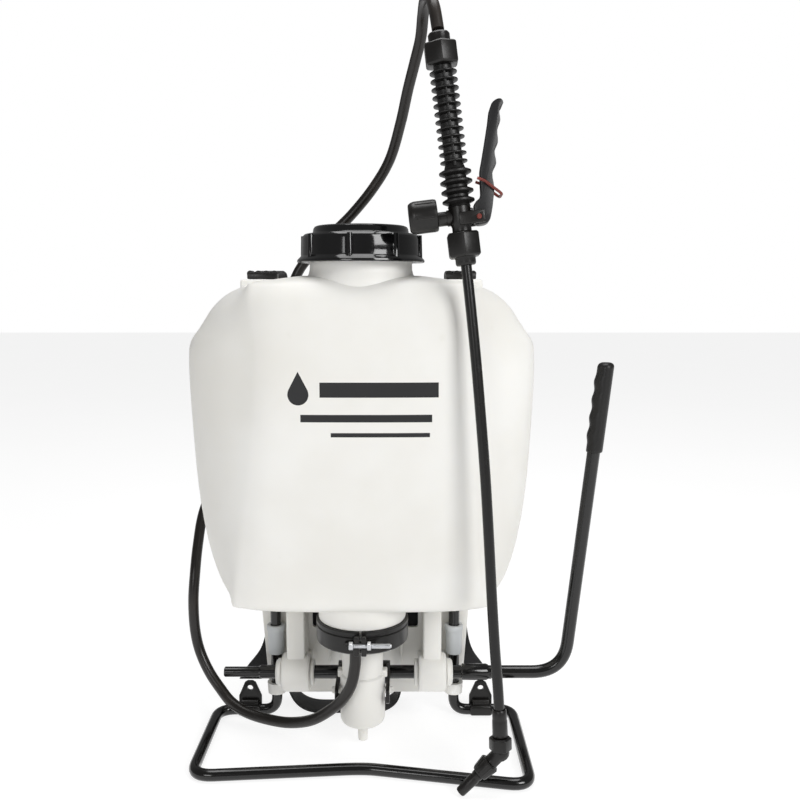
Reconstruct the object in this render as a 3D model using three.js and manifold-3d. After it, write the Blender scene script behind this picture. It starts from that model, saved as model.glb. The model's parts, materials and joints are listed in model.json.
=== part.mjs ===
// Backpack sprayer: a moulded tank on a bent-tube stand, a lever-worked piston pump under the tank,
// a shoulder harness behind it, and a spray wand that stands against the front of the tank.
// Millimetres. +Z is up, +X is the pump-handle side, +Y runs from the front to the wearer's back.
// The origin is on the floor, under the middle of the stand's front tube.
import * as THREE from "three";
import { mergeVertices } from "three/addons/utils/BufferGeometryUtils.js";
import Module from "manifold-3d";

const wasm = await Module();
wasm.setup();

// ---------- Driving dimensions ----------

const gap = 0.3; // between faces of separate pieces that touch
const slip = 0.5; // radial play of what turns or slides

// Tank
const tankBottom = 154;
const tankTop = 478;
const tankHalfWidth = 172.5;
const tankFront = 4;
const tankBack = 178;
const tankMiddle = 91; // Y of the widest stretch of the sides
const wall = 3;
const neckAxis = 73; // Y of the filling neck
const neckRadius = 50;
const neckBore = 45;
const neckHeight = 30;
const lugInset = 52.5; // of the strap lugs from the widest part of the sides
const lugWidth = 45;
const lugOuter = tankHalfWidth - lugInset;
const lugInner = lugOuter - lugWidth;
const lugFront = 78;
const lugBack = 104;
const lugTop = tankTop - 3;
const neckRim = tankTop + neckHeight;

// Cap
const capRadius = 59.8;
const capFlangeRadius = 62.3;
const capHeight = 35;
const capTopRadius = 45;
const capLobes = 8;
const strainerDepth = 78;

// Pump
const pumpAxis = 60; // Y of the pump
const bossRadius = 44;
const flangeRadius = 41.5;
const clampRadius = 46.5;
const bossDrop = 17;
const clampTop = tankBottom - bossDrop;
const clampHeight = 23;
const joint = clampTop - 11.15; // where the tank's flange meets the pump head
const boltRadius = 2.5;
const boltZ = clampTop - 11;
const cylinderRadius = 20.8;
const cylinderWall = 3.2;
const cupRadius = 22.8;
const cupBottom = 24;
const cupHeight = 53;
const barrelWall = 2.8;
const barrelHeight = 90;
const chamberRadius = 36;
const chamberHeight = 205;
const trunnionRadius = 3.5;
const trunnionReach = 31;
const outletX = -5.5;
const outletReach = 33; // from the pump's axis to its outlet
const outletY = pumpAxis - outletReach;

// Pump shaft, crank and handle
const crankRadius = 44;
const shaftY = pumpAxis + crankRadius;
const shaftZ = 58;
const shaftRadius = 7.1;
const shaftEndRadius = 5.4;
const shaftLeft = -150;
const shaftStep = -112;
const shaftRight = 104;
const bossInner = 57.5; // X of the bearing bosses
const bossOuter = 87.6;
const bearingRadius = 21;
const bushWall = 2.6;
const armInner = 23.9; // X of the crank arms
const armThickness = 3.6;
const armReach = crankRadius + 18;
const armHalfHeight = 9;
const handleRadius = 6.8;
const gripLength = 94;

// Stand
const bendSteps = 4;
const tubeRadius = 5.8;
const tubeSides = 12;
const tubeZ = tubeRadius * Math.cos(Math.PI / tubeSides); // flats of the tube rest on the floor
const legX = 97;
const legTop = tankBottom - 14;
const standHalfWidth = 161;
const standFront = -21.5;
const standSkew = 8.5; // the front tube runs a little out of square
const notchFlat = 9;
const skirtFront = shaftY + 30;
const standBack = skirtFront - 9; // the legs stand against the front of the skirt
const skirtThickness = 4;
const skirtBottom = 21;

// Harness
const webbingWidth = 25;
const padWidth = 58;
const padThickness = 12;

// Hose and wand
const hoseRadius = 5.6;
const lanceRadius = 4.9;
const gripRadius = 9.3;
const ribRadius = 12.4;
const ribPitch = 7.2;
const ribCount = 12;
const triggerHalfWidth = 8;

// ---------- Finishes ----------

function finish(color, roughness, metalness) {
  return new THREE.MeshStandardMaterial({ color, roughness, metalness });
}
const tankWhite = finish(0xdedcd2, 0.55, 0);
const skirtWhite = finish(0xe2e1db, 0.5, 0);
const glossBlack = finish(0x141414, 0.25, 0);
const mattBlack = finish(0x1b1b1b, 0.55, 0);
const enamelBlack = finish(0x161616, 0.35, 0.4);
const sleeveGrey = finish(0xb9bdbf, 0.5, 0);
const steel = finish(0xa9abad, 0.3, 1);
const chromeSteel = finish(0xd0d0d2, 0.12, 1);
const rubber = finish(0x202020, 0.8, 0);
const triggerGrey = finish(0x3a3a3c, 0.5, 0);
const lockRed = finish(0x7d2a1e, 0.5, 0);
const linkAmber = finish(0xc8a86a, 0.5, 0);
const webbing = finish(0x17181a, 0.9, 0);

// ---------- Making solids ----------

// A closed geometry as a solid, with its faces turned out.
function solidOf(geometry) {
  geometry.deleteAttribute("normal");
  geometry.deleteAttribute("uv");
  const merged = mergeVertices(geometry, 1e-4);
  const vertProperties = merged.getAttribute("position").array;
  const triVerts = new Uint32Array(merged.index.array);
  const made = new wasm.Manifold(new wasm.Mesh({ numProp: 3, vertProperties, triVerts }));
  if (made.volume() > 0) return made;
  for (let i = 0; i < triVerts.length; i += 3) {
    [triVerts[i + 1], triVerts[i + 2]] = [triVerts[i + 2], triVerts[i + 1]];
  }
  return new wasm.Manifold(new wasm.Mesh({ numProp: 3, vertProperties, triVerts }));
}

function joined(...solids) {
  return solids.reduce((whole, one) => whole.add(one));
}

function cut(solid, ...tools) {
  return tools.reduce((rest, tool) => rest.subtract(tool), solid);
}

function block([x0, y0, z0], [x1, y1, z1]) {
  const geometry = new THREE.BoxGeometry(x1 - x0, y1 - y0, z1 - z0);
  geometry.translate((x0 + x1) / 2, (y0 + y1) / 2, (z0 + z1) / 2);
  return solidOf(geometry);
}

// A cylinder or cone between two points.
function rod(from, to, radius, endRadius = radius, sides = 24) {
  const a = new THREE.Vector3(...from);
  const b = new THREE.Vector3(...to);
  const geometry = new THREE.CylinderGeometry(endRadius, radius, a.distanceTo(b), sides);
  const turn = new THREE.Quaternion().setFromUnitVectors(
    new THREE.Vector3(0, 1, 0),
    b.clone().sub(a).normalize(),
  );
  geometry.applyQuaternion(turn);
  const middle = a.add(b).multiplyScalar(0.5);
  geometry.translate(middle.x, middle.y, middle.z);
  return solidOf(geometry);
}

// A profile of [radius, height] points turned about a vertical axis.
function turned(profile, [x, y], sides = 32) {
  const points = profile.map(([r, z]) => new THREE.Vector2(r, z));
  const [first, last] = [points[0], points[points.length - 1]];
  if (first.x > 0 || last.x > 0) points.push(first.clone());
  const geometry = new THREE.LatheGeometry(points, sides);
  geometry.rotateX(Math.PI / 2);
  geometry.translate(x, y, 0);
  return solidOf(geometry);
}

function tubeProfile(inner, outer, low, high) {
  return [[inner, low], [outer, low], [outer, high], [inner, high]];
}

// An outline of [Y, Z] points with a thickness along X, or of [X, Z] points with one along Y.
function plateAcross(outline, low, high, thick = "x") {
  const shape = new THREE.Shape(outline.map(([u, v]) => new THREE.Vector2(u, v)));
  const geometry = new THREE.ExtrudeGeometry(shape, { depth: high - low, bevelEnabled: false });
  const axes = new THREE.Matrix4();
  if (thick === "x") {
    axes.makeBasis(
      new THREE.Vector3(0, 1, 0),
      new THREE.Vector3(0, 0, 1),
      new THREE.Vector3(1, 0, 0),
    );
    geometry.applyMatrix4(axes);
    geometry.translate(low, 0, 0);
  } else {
    geometry.rotateX(Math.PI / 2);
    geometry.translate(0, high, 0);
  }
  return solidOf(geometry);
}

// A round bar along a path. The first side is turned half a step, so that flats face the axes.
function bar(path, radius, sides, steps) {
  const section = new THREE.Shape();
  for (let i = 0; i < sides; i++) {
    const angle = ((i + 0.5) / sides) * 2 * Math.PI;
    const [x, y] = [radius * Math.cos(angle), radius * Math.sin(angle)];
    if (i === 0) section.moveTo(x, y);
    else section.lineTo(x, y);
  }
  return solidOf(
    new THREE.ExtrudeGeometry(section, { steps, extrudePath: path, bevelEnabled: false }),
  );
}

function smoothPath(points) {
  return new THREE.CatmullRomCurve3(points.map((p) => new THREE.Vector3(...p)), false, "centripetal");
}

// A skin over rings of the same number of points, closed at both ends.
function loft(rings) {
  const count = rings[0].length;
  const position = rings.flat().flatMap((p) => [p.x, p.y, p.z]);
  const index = [];
  for (let r = 0; r + 1 < rings.length; r++) {
    for (let i = 0; i < count; i++) {
      const j = (i + 1) % count;
      const [a, b] = [r * count + i, r * count + j];
      index.push(a, b, b + count, a, b + count, a + count);
    }
  }
  for (const [r, flip] of [[0, true], [rings.length - 1, false]]) {
    const middle = rings[r].reduce((sum, p) => sum.add(p), new THREE.Vector3()).divideScalar(count);
    const centre = position.length / 3;
    position.push(middle.x, middle.y, middle.z);
    for (let i = 0; i < count; i++) {
      const [a, b] = [r * count + i, r * count + ((i + 1) % count)];
      if (flip) index.push(centre, b, a);
      else index.push(centre, a, b);
    }
  }
  const geometry = new THREE.BufferGeometry();
  geometry.setAttribute("position", new THREE.Float32BufferAttribute(position, 3));
  geometry.setIndex(index);
  return solidOf(geometry);
}

// A round bar through points whose corners are rounded, each by the distance given with its point.
// It starts with a flat of its section facing along the given direction.
function bentBar(points, radius, sides, flatTo) {
  const places = [];
  const place = (at, way) => places.push({ at, way: way.clone().normalize() });
  const corners = points.map(({ at }) => new THREE.Vector3(...at));
  const last = corners.length - 1;
  place(corners[0], corners[1].clone().sub(corners[0]));
  for (let i = 1; i < last; i++) {
    const corner = corners[i];
    const entry = corner.clone().lerp(corners[i - 1], points[i].round / corner.distanceTo(corners[i - 1]));
    const exit = corner.clone().lerp(corners[i + 1], points[i].round / corner.distanceTo(corners[i + 1]));
    const bend = new THREE.QuadraticBezierCurve3(entry, corner, exit);
    for (let k = 0; k <= bendSteps; k++) place(bend.getPoint(k / bendSteps), bend.getTangent(k / bendSteps));
  }
  place(corners[last], corners[last].clone().sub(corners[last - 1]));
  const normal = new THREE.Vector3(...flatTo);
  const rings = places.map(({ at, way }) => {
    normal.addScaledVector(way, -normal.dot(way)).normalize();
    const other = new THREE.Vector3().crossVectors(way, normal);
    return Array.from({ length: sides }, (_, i) => {
      const angle = ((i + 0.5) / sides) * 2 * Math.PI;
      return at.clone().addScaledVector(normal, radius * Math.cos(angle))
        .addScaledVector(other, radius * Math.sin(angle));
    });
  });
  return loft(rings);
}

// A flat band along a path, with its width along one axis and a thickness at each end of the path.
function band(points, width, thickness, steps, across = new THREE.Vector3(1, 0, 0)) {
  const path = smoothPath(points);
  const rings = [];
  for (let i = 0; i <= steps; i++) {
    const middle = path.getPointAt(i / steps);
    const normal = path.getTangentAt(i / steps).cross(across).normalize();
    const half = thickness(i / steps) / 2;
    const side = width(i / steps) / 2;
    const ring = [[-1, -0.55], [-0.86, -1], [0.86, -1], [1, -0.55], [1, 0.55], [0.86, 1], [-0.86, 1], [-1, 0.55]];
    rings.push(ring.map(([u, v]) =>
      middle.clone().addScaledVector(across, u * side).addScaledVector(normal, v * half)));
  }
  return loft(rings);
}

const sprayer = new THREE.Group();

function add(name, solid, material, group = sprayer) {
  const { numProp, vertProperties, triVerts } = solid.getMesh();
  const geometry = new THREE.BufferGeometry();
  const position = new Float32Array((vertProperties.length / numProp) * 3);
  for (let i = 0; i < position.length / 3; i++) {
    position.set(vertProperties.subarray(i * numProp, i * numProp + 3), i * 3);
  }
  geometry.setAttribute("position", new THREE.BufferAttribute(position, 3));
  geometry.setIndex(new THREE.BufferAttribute(triVerts, 1));
  geometry.computeVertexNormals();
  const mesh = new THREE.Mesh(geometry, material);
  mesh.name = name;
  group.add(mesh);
}

// ---------- Tank ----------

// Height, half width and how far the front and back are drawn in, from the base to the top.
const tankLevels = [
  [0, 108, 22], [2, 121, 13], [7, 135, 5.5], [16, 145, 1.5], [34, 152.5, 0], [60, 159, 0],
  [102, 165.5, 0], [170, 170.5, 0], [250, 172.5, 0], [261, 170, 0], [272, 162.5, 0.5], [282, 156, 1.5],
  [292, 149.5, 3.5], [302, 140, 7], [310, 128, 12], [317, 108, 18.5], [321, 86, 26], [324, 64, 36],
];
const tankLevelsWidth = 172.5;
const tankLevelsHeight = 324;

// The raised front panel is widest at the base.
function panelHalfWidth(rise) {
  return 95 + 20 * Math.max(0, 1 - rise / 230) ** 1.2;
}

function tankRing([levelRise, levelWidth, drawnIn], inset) {
  const rise = (levelRise / tankLevelsHeight) * (tankTop - tankBottom);
  const halfWidth = levelWidth * (tankHalfWidth / tankLevelsWidth) - inset;
  const front = tankFront + drawnIn + inset;
  const back = tankBack - drawnIn * 0.8 - inset;
  const panel = Math.min(panelHalfWidth(levelRise) - inset * 0.6, halfWidth - 17);
  const z = tankBottom + inset + (rise / (tankTop - tankBottom)) * (tankTop - tankBottom - 2 * inset);
  const half = [
    [panel * 0.5, front + 0.8],
    [panel - 12, front + 2.6],
    [panel, front + 6.5],
    [panel + 9, front + 11.5],
    [halfWidth - (halfWidth - panel) * 0.45, front + 31],
    [halfWidth - 5, front + (tankMiddle - front) * 0.68],
    [halfWidth, tankMiddle],
    [halfWidth - 6, back - (back - tankMiddle) * 0.5],
    [halfWidth - 22, back - (back - tankMiddle) * 0.2],
    [halfWidth - 52, back - 2.5],
    [halfWidth * 0.3, back],
    [halfWidth * 0.15, back],
  ];
  const outline = [[0, front], ...half, [0, back], ...half.toReversed().map(([x, y]) => [-x, y])];
  const curve = new THREE.CatmullRomCurve3(
    outline.map(([x, y]) => new THREE.Vector3(x, y, z)), true, "centripetal");
  return curve.getPoints(Math.round(outline.length * 1.5)).slice(0, -1);
}

function tankShell() {
  const outer = loft(tankLevels.map((level) => tankRing(level, 0)));
  const inner = loft(tankLevels.filter((level, i) => i % 2 === 0 || i === tankLevels.length - 1)
    .map((level) => tankRing(level, wall)));
  const boss = turned([[0, clampTop + gap], [bossRadius, clampTop + gap], [bossRadius, tankBottom + 4],
    [0, tankBottom + 4]], [0, pumpAxis], 40);
  const flange = turned([[0, joint + gap / 2], [flangeRadius, joint + gap / 2],
    [flangeRadius, clampTop + 1], [0, clampTop + 1]], [0, pumpAxis], 40);
  const mouth = rod([0, neckAxis, tankTop - 40], [0, neckAxis, neckRim], neckBore, neckBore, 40);
  const pumpBore = rod([0, pumpAxis, joint - 1], [0, pumpAxis, tankBottom + 40],
    chamberRadius + slip * 2, chamberRadius + slip * 2, 40);
  const lugs = [-1, 1].map((side) => {
    const [low, high] = side < 0 ? [-lugOuter, -lugInner] : [lugInner, lugOuter];
    return block([low, lugFront, tankTop - 18], [high, lugBack, lugTop]);
  });
  return cut(joined(outer, boss, flange, ...lugs), inner, mouth, pumpBore);
}

// The neck stands on the rounded shoulder, so its foot is cut to the shoulder's shape.
function tankNeck() {
  const ring = turned(tubeProfile(neckBore, neckRadius, tankTop - 14, neckRim), [0, neckAxis], 36);
  return cut(ring, loft(tankLevels.map((level) => tankRing(level, -gap))));
}

// ---------- Cap, gasket, vent and strainer ----------

const capBottom = tankTop + 13;
const gasketThickness = 3.2;
const threadDepth = 5; // the ring of space that the screw threads fill
const strainerRim = 1.8;

function tankCap() {
  const top = capBottom + capHeight;
  const under = neckRim + strainerRim + gasketThickness + 3 * gap;
  const skirt = turned([[0, capBottom + 4], [capRadius - 1.6, capBottom + 4], [capRadius - 1.6, top - 10],
    [capRadius - 5, top - 7], [capTopRadius + 3, top - 7], [capTopRadius, top - 2], [capTopRadius - 4, top],
    [0, top]], [0, neckAxis], 40);
  const rim = turned([[0, capBottom], [capFlangeRadius, capBottom], [capFlangeRadius, capBottom + 3],
    [capRadius - 1, capBottom + 5.5], [0, capBottom + 5.5]], [0, neckAxis], 40);
  let solid = joined(skirt, rim);
  for (let i = 0; i < capLobes; i++) {
    const angle = (-98 + (i * 360) / capLobes) * (Math.PI / 180);
    const [x, y] = [Math.cos(angle) * (capRadius - 2.6), neckAxis + Math.sin(angle) * (capRadius - 2.6)];
    solid = solid.add(rod([x, y, capBottom + 2], [x, y, top - 8.5], 3.6, 3.2, 8));
  }
  const cavityRadius = neckRadius + threadDepth;
  const cavity = turned([[0, capBottom - 1], [cavityRadius, capBottom - 1], [cavityRadius, under], [0, under]],
    [0, neckAxis], 32);
  return cut(solid, cavity);
}

function strainerBasket() {
  const rim = neckRim + gap;
  const floor = neckRim - strainerDepth;
  const profile = [[0, floor], [38, floor], [neckBore - 1.2, rim - 8], [neckBore - 1.2, rim],
    [neckRadius - 0.5, rim], [neckRadius - 0.5, rim + strainerRim], [neckBore - 3.2, rim + strainerRim],
    [neckBore - 3.2, rim - 8], [36, floor + 2], [0, floor + 2]];
  const windows = [0, 60, 120].map((degrees) => {
    const angle = (degrees * Math.PI) / 180;
    const [x, y] = [Math.cos(angle) * 60, Math.sin(angle) * 60];
    const z = floor + strainerDepth * 0.42;
    const slot = new THREE.BoxGeometry(120, 26, strainerDepth * 0.5);
    slot.rotateZ(Math.atan2(y, x));
    slot.translate(0, neckAxis, z);
    return solidOf(slot);
  });
  return cut(turned(profile, [0, neckAxis], 24), ...windows);
}

function capGasket() {
  const low = neckRim + gap + strainerRim + gap;
  return turned(tubeProfile(neckBore - 2.5, neckRadius + 1.8, low, low + gasketThickness), [0, neckAxis], 28);
}

function ventValve() {
  const under = neckRim + strainerRim + gasketThickness + 2 * gap;
  return turned([[0, under - 7], [3, under - 7], [4, under - 2.5], [9, under - 2], [9, under], [0, under]],
    [0, neckAxis], 20);
}

// ---------- Clamp ring ----------

const earHalf = 8.5;
const earThickness = 6.2;
const earReach = 9;
const boltReach = 5.6;

function clampHalf(side) {
  const low = clampTop - clampHeight;
  const ring = turned([[flangeRadius + gap, low + 1], [flangeRadius - 1, low], [clampRadius - 2, low],
    [clampRadius, low + 3], [clampRadius, clampTop - 3], [clampRadius - 2, clampTop],
    [flangeRadius + gap, clampTop]], [0, pumpAxis], 32);
  const ears = [-1, 1].map((end) => {
    const y = pumpAxis + end * (clampRadius + earReach / 2 - 2);
    const half = earReach / 2 + 2;
    return block([gap * 4, y - half, boltZ - earHalf - 2], [earThickness, y + half, boltZ + earHalf]);
  });
  let solid = joined(ring, ...ears);
  solid = solid.intersect(block([gap * 4, -20, low - 5], [clampRadius + 5, pumpAxis + 80, clampTop + 5]));
  const bores = [-1, 1].map((end) => {
    const y = pumpAxis + end * (clampRadius + boltReach);
    return rod([-20, y, boltZ], [20, y, boltZ], boltRadius + slip, boltRadius + slip, 16);
  });
  solid = cut(solid, ...bores);
  return side < 0 ? solid.mirror([1, 0, 0]) : solid;
}

function clampBolt(end) {
  const y = pumpAxis + end * (clampRadius + boltReach);
  const head = rod([-earThickness - 5, y, boltZ], [-earThickness - gap, y, boltZ], 4.4, 4.4, 6);
  const shank = rod([-earThickness - 1, y, boltZ], [end < 0 ? 30 : 14, y, boltZ], boltRadius, boltRadius, 16);
  return joined(head, shank);
}

function clampNut(end) {
  const y = pumpAxis + end * (clampRadius + boltReach);
  const nut = rod([earThickness + gap, y, boltZ], [earThickness + 4.6, y, boltZ], 4.6, 4.6, 6);
  const bore = rod([0, y, boltZ], [20, y, boltZ], boltRadius + gap, boltRadius + gap, 16);
  return cut(nut, bore);
}

// ---------- Pump ----------

const headBottom = clampTop - clampHeight + 1;
const headTop = joint - gap / 2;
const cylinderTop = headTop + 26;

function pumpHead() {
  const body = turned([[0, headBottom + 3], [flangeRadius - 4, headBottom + 3], [flangeRadius, headBottom + 6],
    [flangeRadius, headTop], [0, headTop]], [0, pumpAxis], 40);
  const port = rod([outletX, outletY, headBottom - 3], [outletX, outletY, headTop - 2], 6.6, 6.6, 20);
  const bore = rod([0, pumpAxis, headBottom - 5], [0, pumpAxis, headTop + 5],
    cylinderRadius + slip, cylinderRadius + slip, 32);
  return cut(joined(body, port), bore);
}

function pumpBarrel() {
  const low = headTop + gap;
  const inner = cylinderRadius + slip;
  const top = low + barrelHeight;
  return turned([[inner, low], [inner + barrelWall, low], [inner + barrelWall, top], [6, top],
    [6, top - barrelWall], [inner, top - barrelWall]], [0, pumpAxis], 24);
}

function pressureChamber() {
  const low = headTop + gap;
  const top = low + chamberHeight;
  const r = chamberRadius;
  return turned([[r - wall, low], [r, low], [r, top - 26], [r * 0.86, top - 10], [r * 0.5, top - 2], [0, top],
    [0, top - wall], [r * 0.47, top - 2 - wall], [r * 0.86 - wall, top - 12], [r - wall, top - 28]],
    [0, pumpAxis], 24);
}

function pumpCylinder() {
  const cupTop = cupBottom + cupHeight;
  const inner = cylinderRadius - cylinderWall;
  const body = turned([[0, cupBottom - 20], [4.5, cupBottom - 20], [6, cupBottom - 16], [6, cupBottom - 5],
    [cupRadius - 5, cupBottom], [cupRadius, cupBottom + 5], [cupRadius, cupTop], [cylinderRadius, cupTop],
    [cylinderRadius, cylinderTop], [inner, cylinderTop], [inner, cupBottom + 6], [0, cupBottom + 6]],
    [0, pumpAxis], 24);
  const trunnions = rod([-trunnionReach, pumpAxis, shaftZ], [trunnionReach, pumpAxis, shaftZ],
    trunnionRadius, trunnionRadius, 16);
  const hollow = rod([0, pumpAxis, cupBottom + 6], [0, pumpAxis, cylinderTop + 1], inner - 0.1, inner - 0.1, 24);
  const nubs = block([-cupRadius - 2.4, pumpAxis - 5, cupTop - 3], [cupRadius + 2.4, pumpAxis + 5, cupTop + 4]);
  return cut(joined(body, trunnions, nubs), hollow);
}

function pistonSeal() {
  const low = cylinderTop + gap;
  return turned([[4.2, low], [cylinderRadius - 1, low], [cylinderRadius, low + 5], [cylinderRadius - 2, low + 6],
    [4.2, low + 4]], [0, pumpAxis], 20);
}

// A rubber valve: a thin disc whose stem passes down through a hole.
function mushroomValve(seat, stemRadius, stemLength, discRadius) {
  return turned([[0, seat - stemLength], [stemRadius, seat - stemLength], [stemRadius, seat],
    [discRadius, seat], [discRadius * 0.4, seat + 2.4], [0, seat + 2.4]], [0, pumpAxis], 16);
}

// ---------- Base skirt with the shaft's bearings ----------

const skirtTop = tankBottom - gap;

function baseSkirt() {
  const back = skirtFront + skirtThickness;
  const outline = [[-107, skirtBottom + 9], [-98, skirtBottom], [98, skirtBottom], [107, skirtBottom + 9],
    [116, skirtTop], [-116, skirtTop]];
  const panel = plateAcross(outline, skirtFront, back, "y");
  const ledge = block([-116, skirtFront - 16, skirtTop - 4], [116, 165, skirtTop]);
  const parts = [panel, ledge];
  const holes = [];
  for (const side of [-1, 1]) {
    const span = (a, b) => (side < 0 ? [-b, -a] : [a, b]);
    const [low, high] = span(bossInner, bossOuter);
    parts.push(rod([low, shaftY, shaftZ], [high, shaftY, shaftZ], bearingRadius, bearingRadius, 24));
    parts.push(block([low, shaftY, shaftZ - 12], [high, skirtFront + 1, shaftZ + 12]));
    const [webLow, webHigh] = span(bossInner + 5, bossOuter - 5.5);
    parts.push(block([webLow, shaftY - 10, shaftZ + 10], [webHigh, skirtFront + 1, skirtTop - 1]));
    holes.push(rod([low - 1, shaftY, shaftZ], [high + 1, shaftY, shaftZ], bushOuter + slip, bushOuter + slip, 20));
    const [windowLow, windowHigh] = span(42, 58);
    holes.push(block([windowLow, skirtFront - 1, 96], [windowHigh, back + 1, 140]));
    // the sockets that hold the legs
    parts.push(rod([side * legX, standBack, 26], [side * legX, standBack, 38], 10, 10, 18));
    holes.push(rod([side * legX, standBack, 20], [side * legX, standBack, legTop + 2],
      tubeRadius + slip, tubeRadius + slip, 18));
  }
  return cut(joined(...parts), ...holes);
}

const bushOuter = shaftRadius + slip + bushWall;

function bushing(side) {
  const at = (x) => [side * x, shaftY, shaftZ];
  const sleeve = rod(at(bossInner + 1), at(bossOuter + 3), bushOuter, bushOuter, 20);
  const flange = rod(at(bossOuter + gap), at(bossOuter + 7), 14.5, 13, 20);
  const bore = rod(at(bossInner - 1), at(bossOuter + 8), shaftRadius + slip, shaftRadius + slip, 20);
  return cut(joined(sleeve, flange), bore);
}

function washer(side) {
  const at = (x) => [side * x, shaftY, shaftZ];
  const disc = rod(at(bossInner - 4.2), at(bossInner - gap), 14, 14, 20);
  const bore = rod(at(bossInner - 6), at(bossInner + 1), shaftRadius + slip, shaftRadius + slip, 20);
  return cut(disc, bore);
}

// ---------- Shaft, crank and handle ----------

function pumpShaft() {
  const thick = rod([shaftStep, shaftY, shaftZ], [shaftRight, shaftY, shaftZ], shaftRadius, shaftRadius, 24);
  const thin = rod([shaftLeft, shaftY, shaftZ], [shaftStep + 2, shaftY, shaftZ], shaftEndRadius, shaftEndRadius, 24);
  return joined(thick, thin);
}

function crankYoke() {
  const outer = armInner + armThickness;
  const hub = rod([-outer, shaftY, shaftZ], [outer, shaftY, shaftZ], 12, 12, 20);
  const tip = shaftY - armReach;
  const outline = [[shaftY + 4, shaftZ - 11], [shaftY + 4, shaftZ + 11], [tip + 5, shaftZ + armHalfHeight],
    [tip, shaftZ + armHalfHeight - 5], [tip, shaftZ - armHalfHeight + 5], [tip + 5, shaftZ - armHalfHeight]];
  const arms = [-1, 1].map((side) => {
    const [low, high] = side < 0 ? [-outer, -armInner] : [armInner, outer];
    return plateAcross(outline, low, high);
  });
  const play = trunnionRadius + 1.4;
  const slotFar = tip + 3.2;
  const slotNear = pumpAxis + play;
  const slots = block([-outer - 1, slotFar, shaftZ - play], [outer + 1, slotNear, shaftZ + play]);
  const bore = rod([-outer - 1, shaftY, shaftZ], [outer + 1, shaftY, shaftZ],
    shaftRadius + gap, shaftRadius + gap, 20);
  return cut(joined(hub, ...arms), slots, bore);
}

const gripTopZ = 391;
const handleCorner = 213.5;
const handleLean = 0.1095;
const gripPoint = (z) => handleCorner + (z - shaftZ) * handleLean; // X of the handle's axis by height

function handleTube() {
  const path = [
    { at: [shaftRight + gap, shaftY, shaftZ] },
    { at: [handleCorner, shaftY, shaftZ], round: 34 },
    { at: [gripPoint(gripTopZ - 6), shaftY, gripTopZ - 6] },
  ];
  return bentBar(path, handleRadius, 16, [0, 1, 0]);
}

function handleGrip() {
  const bottom = gripTopZ - gripLength;
  const rings = [];
  for (let i = 0; i <= 12; i++) {
    const z = bottom + ((gripLength - 2) * i) / 12;
    const wave = 0.9 * Math.cos((i / 12) * 4 * 2 * Math.PI);
    const ring = [];
    for (let k = 0; k < 12; k++) {
      const angle = (k / 12) * 2 * Math.PI;
      const inward = Math.max(0, -Math.cos(angle));
      const radius = 9 - inward * (0.9 - wave);
      ring.push(new THREE.Vector3(
        gripPoint(z) + radius * Math.cos(angle), shaftY + radius * 1.15 * Math.sin(angle), z));
    }
    rings.push(ring);
  }
  const body = loft(rings);
  const bore = rod([gripPoint(bottom - 40), shaftY, bottom - 40], [gripPoint(gripTopZ - 5), shaftY, gripTopZ - 5],
    handleRadius + gap * 2, handleRadius + gap * 2, 12);
  return cut(body, bore);
}

// ---------- Stand ----------

function frontY(x) {
  return standFront + (x > 0 ? -standSkew : standSkew);
}

function standTube() {
  const side = (s) => [
    { at: [s * legX, standBack, legTop] },
    { at: [s * legX, standBack, tubeZ], round: 15 },
    { at: [s * standHalfWidth, standBack, tubeZ], round: 20 },
    { at: [s * standHalfWidth, frontY(s), tubeZ], round: 22 },
    { at: [s * notchFlat, 0, tubeZ], round: notchFlat - 1 },
  ];
  const left = side(-1);
  const right = side(1).toReversed();
  return bentBar([...left, ...right], tubeRadius, tubeSides, [0, 1, 0]);
}

function tubeClip(side) {
  const y = standBack;
  const sleeve = rod([side * legX, y, 71], [side * legX, y, 103], 9, 9, 24);
  const lip = rod([side * legX, y, 98], [side * legX, y, 103], 10, 10, 24);
  const bore = rod([side * legX, y, 60], [side * legX, y, 110], tubeRadius + slip, tubeRadius + slip, 24);
  const behind = block([side * legX - 20, skirtFront - gap, 60], [side * legX + 20, 150, 110]);
  return cut(joined(sleeve, lip), bore, behind);
}

const bracketX = 127;

function strapBracket(side) {
  const middle = side * bracketX;
  const saddle = block([middle - 12, standBack - 9, 0.6], [middle + 12, standBack + 9, 13]);
  const dome = rod([middle - 10, standBack, 12], [middle + 10, standBack, 12], 5, 5, 16);
  const plate = block([middle - 13, standBack + 2, 8], [middle + 13, standBack + 6, 37]);
  const channel = block([middle - 20, standBack - 6.4, -5], [middle + 20, standBack + 6.4, tubeZ * 2 + 0.8]);
  const hole = rod([middle + 2, standBack - 10, 29], [middle + 2, standBack + 20, 29], 3.2, 3.2, 16);
  return cut(joined(saddle, dome, plate), channel, hole);
}

// ---------- Harness ----------

const anchorX = (lugInner + lugOuter) / 2 + 1.5;
const anchorHalf = 15;

function strapAnchor(side) {
  const [low, high] = [side * anchorX - anchorHalf, side * anchorX + anchorHalf];
  const base = block([low, lugFront + 6, lugTop + gap], [high, lugBack - 4, lugTop + 7]);
  const ridges = [0.2, 0.5, 0.8].map((share) => {
    const x = low + (high - low) * share;
    return rod([x, lugFront + 7, lugTop + 6.5], [x, lugBack - 5, lugTop + 6.5], 3.4, 3.4, 12);
  });
  return joined(base, ...ridges);
}

const strapEndX = 125;
const strapEndZ = 168;

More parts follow.
